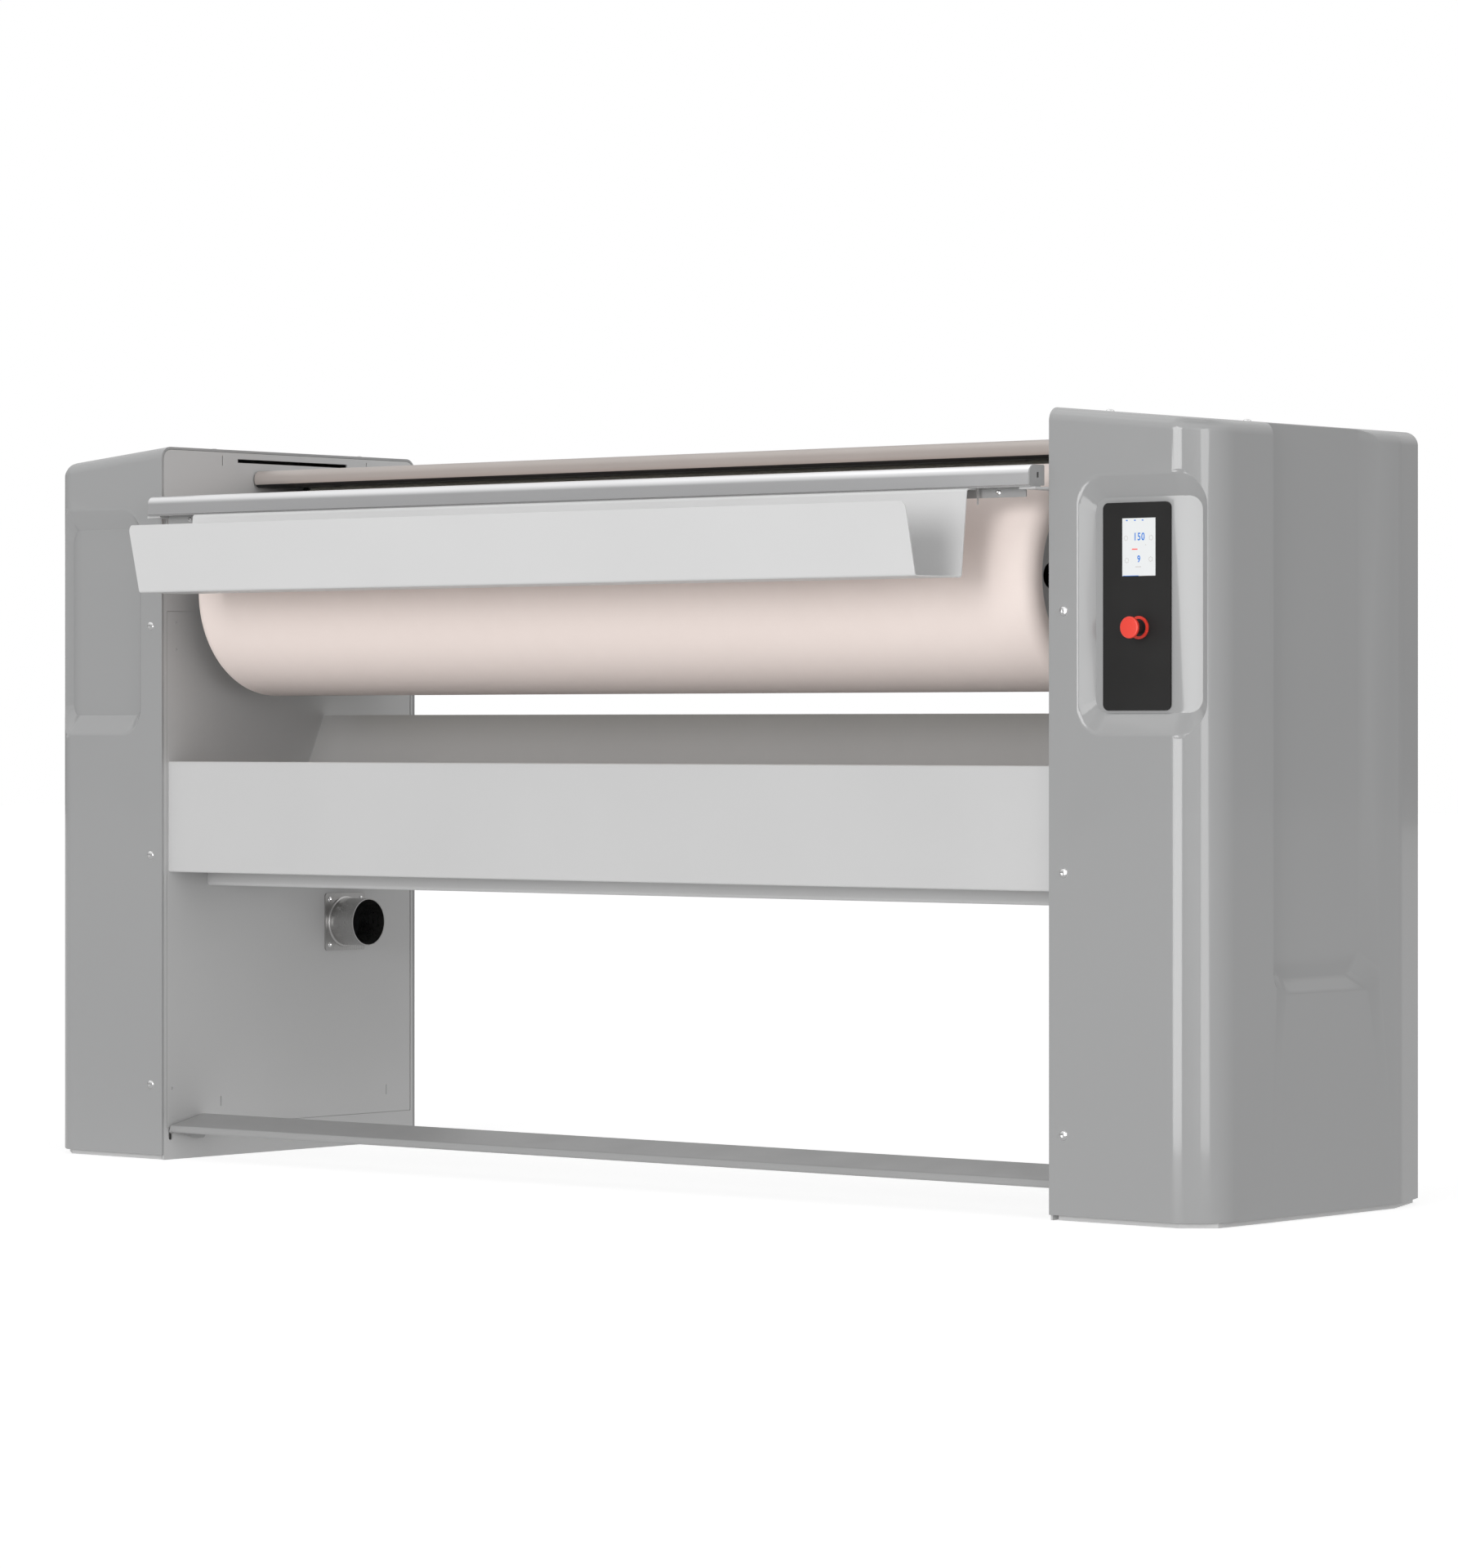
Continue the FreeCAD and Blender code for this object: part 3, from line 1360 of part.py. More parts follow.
def make_impeller():
    """Bladed wheel of the blower on its stub shaft."""
    centre = blower_centre() + Y * (blower_wall + 8)
    back = rod(impeller_r, centre + Y * impeller_width, Y, impeller_sheet)
    rim = pipe(impeller_r, impeller_r - 6, centre, Y, impeller_sheet)
    hub = rod(impeller_hub_r, centre + Y * (impeller_width / 2), Y, impeller_width / 2)
    shaft = rod(blower_shaft_r, centre + Y * impeller_width, Y, blower_width - impeller_width + 6)
    blades = []
    for i in range(impeller_blades):
        blade = box(impeller_r - 15, 0, -impeller_sheet / 2, impeller_r - 1, impeller_width + 1,
                    impeller_sheet / 2)
        blade.rotate(Vector(impeller_r - 8, 0, 0), Y, 28)
        blade.rotate(Vector(0, 0, 0), Y, 360.0 * i / impeller_blades)
        blade.translate(centre)
        blades.append(blade)
    return back.fuse([rim, hub, shaft] + blades)


def make_blower_motor():
    start = blower_centre() + Y * blower_width
    motor = rod(blower_motor_r, start, Y, blower_motor_length)
    motor = motor.fuse(rod(blower_motor_r + 9, start, Y, 4))
    post = box(start.x - blower_motor_r / 2, start.y + 20, plinth_sheet, start.x + blower_motor_r / 2,
               start.y + 20 + blower_foot, start.z)
    foot = box(start.x - blower_motor_r / 2, start.y + 20, plinth_sheet, start.x + blower_motor_r / 2,
               start.y + blower_motor_length, plinth_sheet + blower_foot)
    return motor.fuse([post, foot]).cut(rod(blower_shaft_r + 1, start - Y, Y, blower_motor_bore))


def make_duct():
    """Collector on the hollow journal and the pipe down to the blower's inlet."""
    centre = blower_centre()
    near = -opening_half - journal_reach_left + collector_lap
    collector = box(centre.x - collector_half, roll_y - collector_half, roll_z - collector_half,
                    near, roll_y + collector_half, roll_z + collector_half)
    hollow = box(centre.x - collector_half + duct_wall, roll_y - collector_half + duct_wall,
                 roll_z - collector_half + duct_wall, near - duct_wall,
                 roll_y + collector_half - duct_wall, roll_z + collector_half - duct_wall)
    mouth = rod(journal_r + cover_fit, Vector(near - 2 * duct_wall, roll_y, roll_z), X, 4 * duct_wall)
    duct = collector.fuse(duct_run(duct_r, 0))
    return duct.cut(hollow).cut(mouth).cut(duct_run(duct_r - duct_wall, 1))


def duct_run(radius, over):
    """Down pipe, bend and level pipe of the duct as one solid of the given radius."""
    centre = blower_centre()
    top = Vector(centre.x, roll_y, roll_z - collector_half + over * 3)
    knee_z = centre.z + duct_bend
    down = rod(radius, Vector(top.x, roll_y, knee_z), Z, top.z - knee_z)
    ring = Part.Face(Part.Wire(Part.makeCircle(radius, Vector(top.x, roll_y, knee_z), Z)))
    bend = ring.revolve(Vector(top.x, roll_y + duct_bend, knee_z), X, 90)
    level = rod(radius, Vector(top.x, roll_y + duct_bend, centre.z), Y,
                centre.y - roll_y - duct_bend + over)
    return down.fuse([bend, level])


# ---------------------------------------------------------------- controls
def make_control_panel():
    x0 = opening_half + panel_near
    y = panel_front
    corners = round_box_corners(x0, panel_low, x0 + panel_width, panel_low + panel_height, panel_corner)
    plate = prism(corners, in_front(y), Y * panel_sheet)
    sx = opening_half + screen_near
    window = box(sx, y - 1, screen_low, sx + screen_width, recess_depth + 1, screen_low + screen_height)
    hole = rod(stop_barrel_r + shaft_fit, Vector(opening_half + stop_near, y - 1, stop_z), Y, 6)
    return plate.cut(window).cut(hole)


def make_screen():
    """Display pane in the panel's window, on the box that holds its electronics."""
    x0 = opening_half + screen_near
    x1 = x0 + screen_width
    z1 = screen_low + screen_height
    y = panel_front + screen_stand
    return box(x0, y, screen_low, x1, y + screen_thickness, z1)


def make_screen_box():
    x0 = opening_half + screen_near
    y = panel_front + screen_stand + screen_thickness
    return box(x0 + 1, y, screen_low + 1, x0 + screen_width - 1, y + screen_box_depth,
               screen_low + screen_height - 1)


def make_stop_collar():
    """Ring round the emergency stop's barrel, standing on the panel."""
    centre = Vector(opening_half + stop_near, panel_front - stop_ring_height, stop_z)
    return pipe(stop_ring_r, stop_barrel_r + shaft_fit, centre, Y, stop_ring_height)


def make_stop_barrel():
    """Switch barrel: it ends below the collar's rim and guides the stem."""
    start = Vector(opening_half + stop_near, panel_front - stop_barrel_stand, stop_z)
    length = stop_barrel_stand + stop_barrel_length
    barrel = rod(stop_barrel_r, start, Y, length)
    return barrel.cut(rod(stop_stem_r + shaft_fit, start - Y, Y, 1 + length - stop_barrel_floor))


def make_stop_stem():
    y = panel_front - stop_stand + stop_cap_height
    end = panel_front + stop_barrel_length - stop_barrel_floor - stop_travel - 1
    return rod(stop_stem_r, Vector(opening_half + stop_near, y, stop_z), Y, end - y)


def make_stop_cap():
    y = panel_front - stop_stand
    cap = rod(stop_cap_r, Vector(opening_half + stop_near, y, stop_z), Y, stop_cap_height)
    front = [e for e in cap.Edges if abs(e.BoundBox.YMax - y) < 0.01 and e.BoundBox.XLength > stop_cap_r]
    return cap.makeFillet(stop_cap_round, front)


def make_cabinet():
    """Controls cabinet on the right side frame, with its lid as the outer face."""
    x0 = opening_half + cabinet_near
    shell = box(x0, cabinet_front, cabinet_low, x0 + cabinet_width, cabinet_back, cabinet_high)
    inner = box(x0 + cabinet_sheet, cabinet_front + cabinet_sheet, cabinet_low + cabinet_sheet,
                x0 + cabinet_width + 1, cabinet_back - cabinet_sheet, cabinet_high - cabinet_sheet)
    feet = []
    for y in (cabinet_front + 10, cabinet_back - 22):
        feet.append(box(opening_half + frame_plate, y, cabinet_low - 12, x0 + 1, y + 12, cabinet_low + 6))
    return shell.cut(inner).fuse(feet)


def make_cabinet_lid():
    x0 = opening_half + cabinet_near + cabinet_width
    return box(x0, cabinet_front, cabinet_low, x0 + cabinet_sheet, cabinet_back, cabinet_high)


# ---------------------------------------------------------------- screws
def make_cover_screws():
    """Domed screws on the fronts and tops of both columns."""
    screws = []
    for height in cover_screw_heights:
        tip = Vector(opening_half + cover_screw_near, 0, height)
        screws.append(dome_screw(tip, Y, cover_screw_r, cover_screw_dome, cover_screw_shank_r, frame_front))
    down = Vector(-math.sin(math.radians(top_slope_deg)), 0, -math.cos(math.radians(top_slope_deg)))
    for depth in top_screw_depths:
        tip = Vector(opening_half + top_screw_near, depth, top_at(top_screw_near))
        screws.append(dome_screw(tip, down, cover_screw_r - 1, cover_screw_dome - 0.4,
                                 cover_screw_shank_r - 0.5, cover_wall + 0.2))
    return Part.makeCompound(screws + [mirrored(screw) for screw in screws])


def make_small_screws():
    """Screws of the spigot's flange, and the bolts and trough studs of the mounting strip."""
    screws = []
    for dy, dz in spigot_bolts():
        tip = Vector(-opening_half + spigot_flange_sheet, spigot_y + dy, spigot_z + dz)
        screws.append(dome_screw(tip, X * -1, small_screw_r, small_screw_dome, small_screw_shank_r,
                                 spigot_flange_sheet))
    web_front = rail_back - strip_web_inset - strip_sheet
    strip_low = rail_low - strip_sheet
    for side in (-1, 1):
        tip = Vector(side * strip_bolt_x, web_front, strip_low - strip_bolt_drop)
        screws.append(dome_screw(tip, Y, small_screw_r, small_screw_dome, small_screw_shank_r, strip_sheet))
        start = Vector(side * strip_stud_x, strip_stud_y, strip_low - strip_stud_drop)
        screws.append(rod(strip_stud_r, start, Z, strip_stud_drop))
    return Part.makeCompound(screws)


# ---------------------------------------------------------------- the machine
os.makedirs("parts", exist_ok=True)

cover = screw_holes(make_cover())
save("column_cover_left", mirrored(cover))
save("column_cover_right", panel_opening(cover))
save_pair("side_frame", make_side_frame())
save_pair("base_plinth", make_plinth())
save_pair("rear_panel", make_rear_panel())

service_panel = make_service_panel()
save("service_panel_right", service_panel)
tube_hole = rod(spigot_r + cover_fit, Vector(-opening_half - 9, spigot_y, spigot_z), X, 18)
left_panel = mirrored(service_panel).cut(tube_hole)
for bolt_y, bolt_z in spigot_bolts():
    bolt_at = Vector(-opening_half - 5, spigot_y + bolt_y, spigot_z + bolt_z)
    left_panel = left_panel.cut(rod(small_screw_shank_r + shaft_fit, bolt_at, X, 10))
save("service_panel_left", left_panel)

save("roll_tube", make_roll_tube())
save("roll_padding", make_padding())
save_twins("roll_end_discs", make_end_disc())
save("roll_journal_right", make_journal(journal_reach_right))
save("roll_journal_left", mirrored(make_journal(journal_reach_left)))
save_pair("roll_bearing", make_bearing())

save("roll_pulley", make_pulley(roll_pulley_r, roll_z, journal_r))
save("motor_pulley", make_pulley(motor_pulley_r, motor_z, motor_shaft_r))
save("motor_shaft", make_motor_shaft())
save("drive_belt", make_belt())
gear_motor, motor_bracket = make_gear_motor()
save("gear_motor", gear_motor)
save("motor_bracket", motor_bracket)

save("heated_chest", make_chest())
save("heating_rods", make_heaters())
save("chest_insulation", make_insulation())
save_twins("chest_end_plates", make_chest_end())
save_twins("pressure_arms", make_arm())
save_twins("arm_pivot_pins", make_pivot_pin())
save_pair("press_spindle", make_press_rod())
save_twins("press_actuators", make_press_actuator())

save("chest_hood", make_hood())
save("hood_heat_shield", make_hood_liner())
save("finger_guard", make_finger_guard())

save("feed_rail", make_feed_rail())
save_twins("rail_end_caps", make_rail_cap())
save("mounting_strip", make_mount_strip())
save_twins("rail_hangers", make_hanger())
save("feed_trough", make_trough())

save("fascia_panel", make_fascia())
save("cross_beam", make_beam())
save("linen_tray", make_tray())
save("foot_treadle", make_treadle())

save("exhaust_spigot", make_spigot())
save("blower_housing", make_blower())
save("blower_impeller", make_impeller())
save("blower_motor", make_blower_motor())
save("exhaust_duct", make_duct())

save("control_panel", make_control_panel())
save("display_screen", make_screen())
save("display_housing", make_screen_box())
save("stop_switch_collar", make_stop_collar())
save("stop_switch_barrel", make_stop_barrel())
save("stop_switch_stem", make_stop_stem())
save("stop_switch_cap", make_stop_cap())
save("control_cabinet", make_cabinet())
save("cabinet_lid", make_cabinet_lid())

save("cover_screws", make_cover_screws())
save("small_screws", make_small_screws())
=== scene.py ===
import json
import math

import bmesh
import bpy
from mathutils import Matrix, Vector


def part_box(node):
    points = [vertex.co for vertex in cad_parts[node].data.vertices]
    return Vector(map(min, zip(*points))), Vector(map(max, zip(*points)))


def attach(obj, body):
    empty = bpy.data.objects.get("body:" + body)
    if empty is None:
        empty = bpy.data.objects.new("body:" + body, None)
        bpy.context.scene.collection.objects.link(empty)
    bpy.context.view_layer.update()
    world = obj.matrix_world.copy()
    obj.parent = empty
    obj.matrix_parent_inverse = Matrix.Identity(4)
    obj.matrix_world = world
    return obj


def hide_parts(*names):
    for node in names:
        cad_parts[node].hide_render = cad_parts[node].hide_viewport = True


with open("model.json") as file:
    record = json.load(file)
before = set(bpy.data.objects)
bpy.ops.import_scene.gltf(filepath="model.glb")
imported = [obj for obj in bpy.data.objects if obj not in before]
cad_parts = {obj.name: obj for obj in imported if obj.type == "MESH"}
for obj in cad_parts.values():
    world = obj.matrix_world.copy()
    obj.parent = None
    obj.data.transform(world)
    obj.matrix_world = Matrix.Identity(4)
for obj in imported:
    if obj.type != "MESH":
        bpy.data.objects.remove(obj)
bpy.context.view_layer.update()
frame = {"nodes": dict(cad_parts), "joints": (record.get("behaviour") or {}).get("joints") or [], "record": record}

# ---------------------------------------------------------------- the photograph's camera
PHOTO_HEIGHT = 1920
FOCAL_PIXELS = 7052.4
HORIZON_ROW = 894.13
CAMERA_TURN = math.radians(39.841)
CAMERA_PLACE = Vector((5.2109, -6.1051, 0.6270))
SENSOR = 36.0

# ---------------------------------------------------------------- places read from the frame
TOP = Vector((0, 0, 1))
BACK = Vector((0, 1, 0))
RIGHT = Vector((1, 0, 0))
ROLL = next(j for j in frame["joints"] if j["name"] == "roll_spin")
ROLL_AXIS = Vector(ROLL["pos_m"])
AXIS_GAP = 0.00002      # turned profiles stop this far from their axis, so that no face shrinks to nothing


def front_plane():
    """Depth of the columns' front faces."""
    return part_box("column_cover_right")[0].y


# ---------------------------------------------------------------- shader groups
WEAR_SCALE = 14.0           # patches of paint that shine more or less
SMUDGE_SCALE = 5.0
SCRATCH_SHARE = 0.6         # of the sheen's changes; the rest are smudges
SLUB_SCALE = 26.0
CLOTH_ROUGHNESS = (0.78, 0.92)
# painted shade: how far the colour darkens at the bottom of the weave, where shade falls
PAINTED_HOLLOW_SHADE = 0.28      # share of the thread shade seen at the bottom of the weave


def group_with(name, inputs, outputs):
    """Empty shader group with named sockets: (name, kind, default) in, (name, kind) out."""
    tree = bpy.data.node_groups.new(name, "ShaderNodeTree")
    for label, kind, default in inputs:
        socket = tree.interface.new_socket(label, in_out="INPUT", socket_type=kind)
        if default is not None:
            socket.default_value = default
    for label, kind in outputs:
        tree.interface.new_socket(label, in_out="OUTPUT", socket_type=kind)
    return tree, tree.nodes.new("NodeGroupInput"), tree.nodes.new("NodeGroupOutput")


def math_node(tree, operation, a, b=None):
    """Result of a Math node whose operands may be numbers or sockets."""
    node = tree.nodes.new("ShaderNodeMath")
    node.operation = operation
    for slot, value in enumerate((a, b)):
        if value is None:
            continue
        if isinstance(value, (int, float)):
            node.inputs[slot].default_value = value
        else:
            tree.links.new(value, node.inputs[slot])
    return node.outputs[0]


def noise(tree, vector, scale, detail=2.0):
    """Even noise around 0.5 at a place given by the vector."""
    node = tree.nodes.new("ShaderNodeTexNoise")
    node.inputs["Detail"].default_value = detail
    tree.links.new(vector, node.inputs["Vector"])
    if isinstance(scale, (int, float)):
        node.inputs["Scale"].default_value = scale
    else:
        tree.links.new(scale, node.inputs["Scale"])
    return node.outputs["Fac"]


def span(tree, value, low, high, to_low, to_high):
    """Map Range node whose targets may be numbers or sockets."""
    node = tree.nodes.new("ShaderNodeMapRange")
    tree.links.new(value, node.inputs["Value"])
    for label, number in (("From Min", low), ("From Max", high), ("To Min", to_low), ("To Max", to_high)):
        if isinstance(number, (int, float)):
            node.inputs[label].default_value = number
        else:
            tree.links.new(number, node.inputs[label])
    return node.outputs["Result"]


def two_tones(tree, mask, first, second):
    """Colour that changes from the first to the second as the mask rises from 0 to 1."""
    node = tree.nodes.new("ShaderNodeMix")
    node.data_type = "RGBA"
    tree.links.new(mask, node.inputs["Factor"])
    tree.links.new(first, node.inputs["A"])
    tree.links.new(second, node.inputs["B"])
    return node.outputs["Result"]


def make_paint_coat():
    """Even coat of paint or moulded plastic: faint cloudy tone, fine texture and soft sheen changes."""
    tree, given, result = group_with("paint_coat", [
        ("Vector", "NodeSocketVector", None),
        ("Tone", "NodeSocketColor", (0.5, 0.5, 0.5, 1)),
        ("Second Tone", "NodeSocketColor", (0.45, 0.45, 0.45, 1)),
        ("Cloud Scale", "NodeSocketFloat", 3.0),
        ("Texture Scale", "NodeSocketFloat", 900.0),
        ("Roughness Low", "NodeSocketFloat", 0.3),
        ("Roughness High", "NodeSocketFloat", 0.4),
    ], [("Color", "NodeSocketColor"), ("Roughness", "NodeSocketFloat"), ("Height", "NodeSocketFloat")])
    clouds = noise(tree, given.outputs["Vector"], given.outputs["Cloud Scale"], 3.0)
    clouds = span(tree, clouds, 0.3, 0.7, 0.0, 1.0)
    tree.links.new(two_tones(tree, clouds, given.outputs["Tone"], given.outputs["Second Tone"]),
                   result.inputs["Color"])
    texture = noise(tree, given.outputs["Vector"], given.outputs["Texture Scale"], 2.0)
    wear = noise(tree, given.outputs["Vector"], WEAR_SCALE, 4.0)
    rough = span(tree, wear, 0.3, 0.7, given.outputs["Roughness Low"], given.outputs["Roughness High"])
    tree.links.new(rough, result.inputs["Roughness"])
    tree.links.new(texture, result.inputs["Height"])
    return tree


def make_brushed_grain():
    """Long fine scratches along one axis, as brushing, rolling or drawing leaves them on metal."""
    tree, given, result = group_with("brushed_grain", [
        ("Vector", "NodeSocketVector", None),
        ("Stretch", "NodeSocketVector", (4.0, 900.0, 900.0)),
        ("Roughness Low", "NodeSocketFloat", 0.2),
        ("Roughness High", "NodeSocketFloat", 0.35),
        ("Tone", "NodeSocketColor", (0.6, 0.6, 0.6, 1)),
        ("Second Tone", "NodeSocketColor", (0.5, 0.5, 0.5, 1)),
    ], [("Color", "NodeSocketColor"), ("Roughness", "NodeSocketFloat"), ("Height", "NodeSocketFloat")])
    stretch = tree.nodes.new("ShaderNodeVectorMath")
    stretch.operation = "MULTIPLY"
    tree.links.new(given.outputs["Vector"], stretch.inputs[0])
    tree.links.new(given.outputs["Stretch"], stretch.inputs[1])
    scratches = noise(tree, stretch.outputs["Vector"], 1.0, 3.0)
    smudges = noise(tree, given.outputs["Vector"], SMUDGE_SCALE, 3.0)
    both = math_node(tree, "ADD", math_node(tree, "MULTIPLY", scratches, SCRATCH_SHARE),
                     math_node(tree, "MULTIPLY", smudges, 1 - SCRATCH_SHARE))
    rough = span(tree, both, 0.35, 0.65, given.outputs["Roughness Low"], given.outputs["Roughness High"])
    tree.links.new(rough, result.inputs["Roughness"])
    tree.links.new(two_tones(tree, smudges, given.outputs["Tone"], given.outputs["Second Tone"]),
                   result.inputs["Color"])
    tree.links.new(scratches, result.inputs["Height"])
    return tree


def make_woven_cloth():
    """Plain weave on a UV map in metres: threads over and under, with slubs, faint mottling and painted shade in
    the hollows between threads.
    """
    tree, given, result = group_with("woven_cloth", [
        ("Vector", "NodeSocketVector", None),
        ("Threads per Metre", "NodeSocketFloat", 700.0),
        ("Tone", "NodeSocketColor", (0.8, 0.75, 0.7, 1)),
        ("Thread Shade", "NodeSocketColor", (0.7, 0.65, 0.6, 1)),
        ("Mottle", "NodeSocketFloat", 0.08),
    ], [("Color", "NodeSocketColor"), ("Roughness", "NodeSocketFloat"), ("Height", "NodeSocketFloat")])
    scaled = tree.nodes.new("ShaderNodeVectorMath")
    scaled.operation = "SCALE"
    tree.links.new(given.outputs["Vector"], scaled.inputs[0])
    tree.links.new(given.outputs["Threads per Metre"], scaled.inputs["Scale"])
    parts = tree.nodes.new("ShaderNodeSeparateXYZ")
    tree.links.new(scaled.outputs["Vector"], parts.inputs[0])
    warp, weft = (math_node(tree, "ABSOLUTE", math_node(tree, "SINE", math_node(
        tree, "MULTIPLY", parts.outputs[side], math.pi))) for side in ("X", "Y"))
    checker = tree.nodes.new("ShaderNodeTexChecker")
    checker.inputs["Scale"].default_value = 1.0
    tree.links.new(scaled.outputs["Vector"], checker.inputs["Vector"])
    over = checker.outputs["Fac"]
    under = math_node(tree, "SUBTRACT", 1.0, over)
    height = math_node(tree, "ADD", math_node(tree, "MULTIPLY", warp, over),
                       math_node(tree, "MULTIPLY", weft, under))
    slubs = noise(tree, given.outputs["Vector"], SLUB_SCALE, 3.0)
    mottle = math_node(tree, "MULTIPLY", span(tree, slubs, 0.35, 0.65, 0.0, 1.0), given.outputs["Mottle"])
    # painted shade: the colour darkens where the weave is low, as shade in its hollows; the mottle adds real tone
    shade = math_node(tree, "MULTIPLY", math_node(tree, "SUBTRACT", 1.0, height), PAINTED_HOLLOW_SHADE)
    mask = math_node(tree, "MINIMUM", math_node(tree, "ADD", shade, mottle), 1.0)
    tree.links.new(two_tones(tree, mask, given.outputs["Tone"], given.outputs["Thread Shade"]),
                   result.inputs["Color"])
    tree.links.new(span(tree, slubs, 0.3, 0.7, *CLOTH_ROUGHNESS), result.inputs["Roughness"])
    tree.links.new(height, result.inputs["Height"])
    return tree


PAINT_COAT = make_paint_coat()
BRUSHED_GRAIN = make_brushed_grain()
WOVEN_CLOTH = make_woven_cloth()


# ---------------------------------------------------------------- material helpers
PAINT_RELIEF = 0.0002       # depth that a full bump stands for, in paint and cloth
METAL_RELIEF = 0.00005


def colour(level, tint=(1.0, 1.0, 1.0)):
    """Linear colour of an even grey level with a tint."""
    return (level * tint[0], level * tint[1], level * tint[2], 1.0)


def coated(name, group, values, bump, bump_distance, coordinate="Object"):
    """Material whose colour, roughness and bump come from a group; returns it and its shader."""
    material = bpy.data.materials.new(name)
    material.use_nodes = True
    tree = material.node_tree
    shader = tree.nodes["Principled BSDF"]
    place = tree.nodes.new("ShaderNodeTexCoord")
    coat = tree.nodes.new("ShaderNodeGroup")
    coat.node_tree = group
    tree.links.new(place.outputs[coordinate], coat.inputs["Vector"])
    for label, value in values.items():
        coat.inputs[label].default_value = value
    tree.links.new(coat.outputs["Color"], shader.inputs["Base Color"])
    tree.links.new(coat.outputs["Roughness"], shader.inputs["Roughness"])
    if bump > 0:
        relief = tree.nodes.new("ShaderNodeBump")
        relief.inputs["Strength"].default_value = bump
        relief.inputs["Distance"].default_value = bump_distance
        tree.links.new(coat.outputs["Height"], relief.inputs["Height"])
        tree.links.new(relief.outputs["Normal"], shader.inputs["Normal"])
    return material, shader


def paint(name, level, tint=(1.0, 1.0, 1.0), low=0.35, high=0.45, texture=900.0, bump=0.08, change=0.96):
    """Painted or moulded material; low and high bound its roughness, change is the darker cloud's share."""
    values = {"Tone": colour(level, tint), "Second Tone": colour(level * change, tint),
              "Roughness Low": low, "Roughness High": high, "Texture Scale": texture}
    return coated(name, PAINT_COAT, values, bump, PAINT_RELIEF)


def metal(name, level, tint=(1.0, 1.0, 1.0), low=0.2, high=0.35, stretch=(4.0, 900.0, 900.0), bump=0.05):
    """Brushed metal; its scratches run along the axis where stretch is small."""
    values = {"Tone": colour(level, tint), "Second Tone": colour(level * 0.9, tint),
              "Roughness Low": low, "Roughness High": high, "Stretch": stretch}
    material, shader = coated(name, BRUSHED_GRAIN, values, bump, METAL_RELIEF)
    shader.inputs["Metallic"].default_value = 1.0
    return material, shader


# ---------------------------------------------------------------- materials, one for each slot
def cover_gloss():
    """Glossy grey moulding of the column covers."""
    material, shader = paint("cover_gloss", 0.38, (0.995, 1.0, 1.005), low=0.14, high=0.18,
                             texture=160.0, bump=0.015, change=0.985)
    shader.inputs["Coat Weight"].default_value = 0.5
    shader.inputs["Coat Roughness"].default_value = 0.05
    return material


def screen_white():
    """Lit face of the display: nearly white, with a faint glow of its own."""
    material, shader = paint("screen_white", 0.80, (0.985, 1.0, 1.0), low=0.12, high=0.16,
                             texture=400.0, bump=0.0, change=0.99)
    shader.inputs["Emission Color"].default_value = (0.9, 0.97, 1.0, 1.0)
    shader.inputs["Emission Strength"].default_value = 0.12
    return material


def display_ink(name, tone):
    """Lit figures and marks on the display."""
    material, shader = paint(name, 1.0, tone, low=0.1, high=0.2, texture=400.0, bump=0.0, change=0.97)
    shader.inputs["Emission Color"].default_value = (*tone, 1.0)
    shader.inputs["Emission Strength"].default_value = 0.25
    return material


def panel_black():
    """Matt black foil of the control panel, with little reflection of its own."""
    material, shader = paint("panel_black", 0.012, (1.0, 0.97, 0.95), low=0.4, high=0.5, texture=1400.0)
    shader.inputs["Specular IOR Level"].default_value = 0.25
    return material


def tray_steel():
    """Dull rolled sheet of the linen tray, more grey than mirror."""
    material, shader = metal("tray_steel", 0.57, (1.0, 0.99, 0.98), low=0.5, high=0.6, bump=0.02)
    shader.inputs["Metallic"].default_value = 0.25
    return material


# painted shade: height of the black band painted along the finger guard's lower edge, standing for the dark slot
# under it
PAINTED_SHADE_BAND_HEIGHT = 0.0045


def guard_steel():
    """Warm grey satin bar of the finger guard, with a band of painted black shade along its lower edge for the
    dark slot under it.
    """
    material, shader = metal("guard_steel", 0.52, (1.0, 0.91, 0.86), low=0.40, high=0.48, bump=0.02)
    shader.inputs["Metallic"].default_value = 0.3
    tree = material.node_tree
    coat = shader.inputs["Base Color"].links[0].from_socket
    place = tree.nodes.new("ShaderNodeSeparateXYZ")
    tree.links.new(tree.nodes.new("ShaderNodeTexCoord").outputs["Object"], place.inputs[0])
    # painted shade: below this height the bar's colour is black, as the shade of the slot under it
    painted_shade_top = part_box("finger_guard")[0].z + PAINTED_SHADE_BAND_HEIGHT
    in_painted_shade = math_node(tree, "LESS_THAN", place.outputs["Z"], painted_shade_top)
    black = tree.nodes.new("ShaderNodeRGB").outputs[0]
    black.default_value = colour(0.015)
    tree.links.new(two_tones(tree, in_painted_shade, coat, black), shader.inputs["Base Color"])
    return material


def roll_cloth():
    """Woven cover of the roll, read from the piece's own UV map in metres."""
    values = {"Tone": colour(0.96, (1.0, 0.877, 0.823)), "Thread Shade": colour(0.84, (1.0, 0.86, 0.80))}
    material, shader = coated("roll_cloth", WOVEN_CLOTH, values, 0.2, PAINT_RELIEF, "UV")
    shader.inputs["Sheen Weight"].default_value = 0.15
    shader.inputs["Sheen Roughness"].default_value = 0.5
    return material


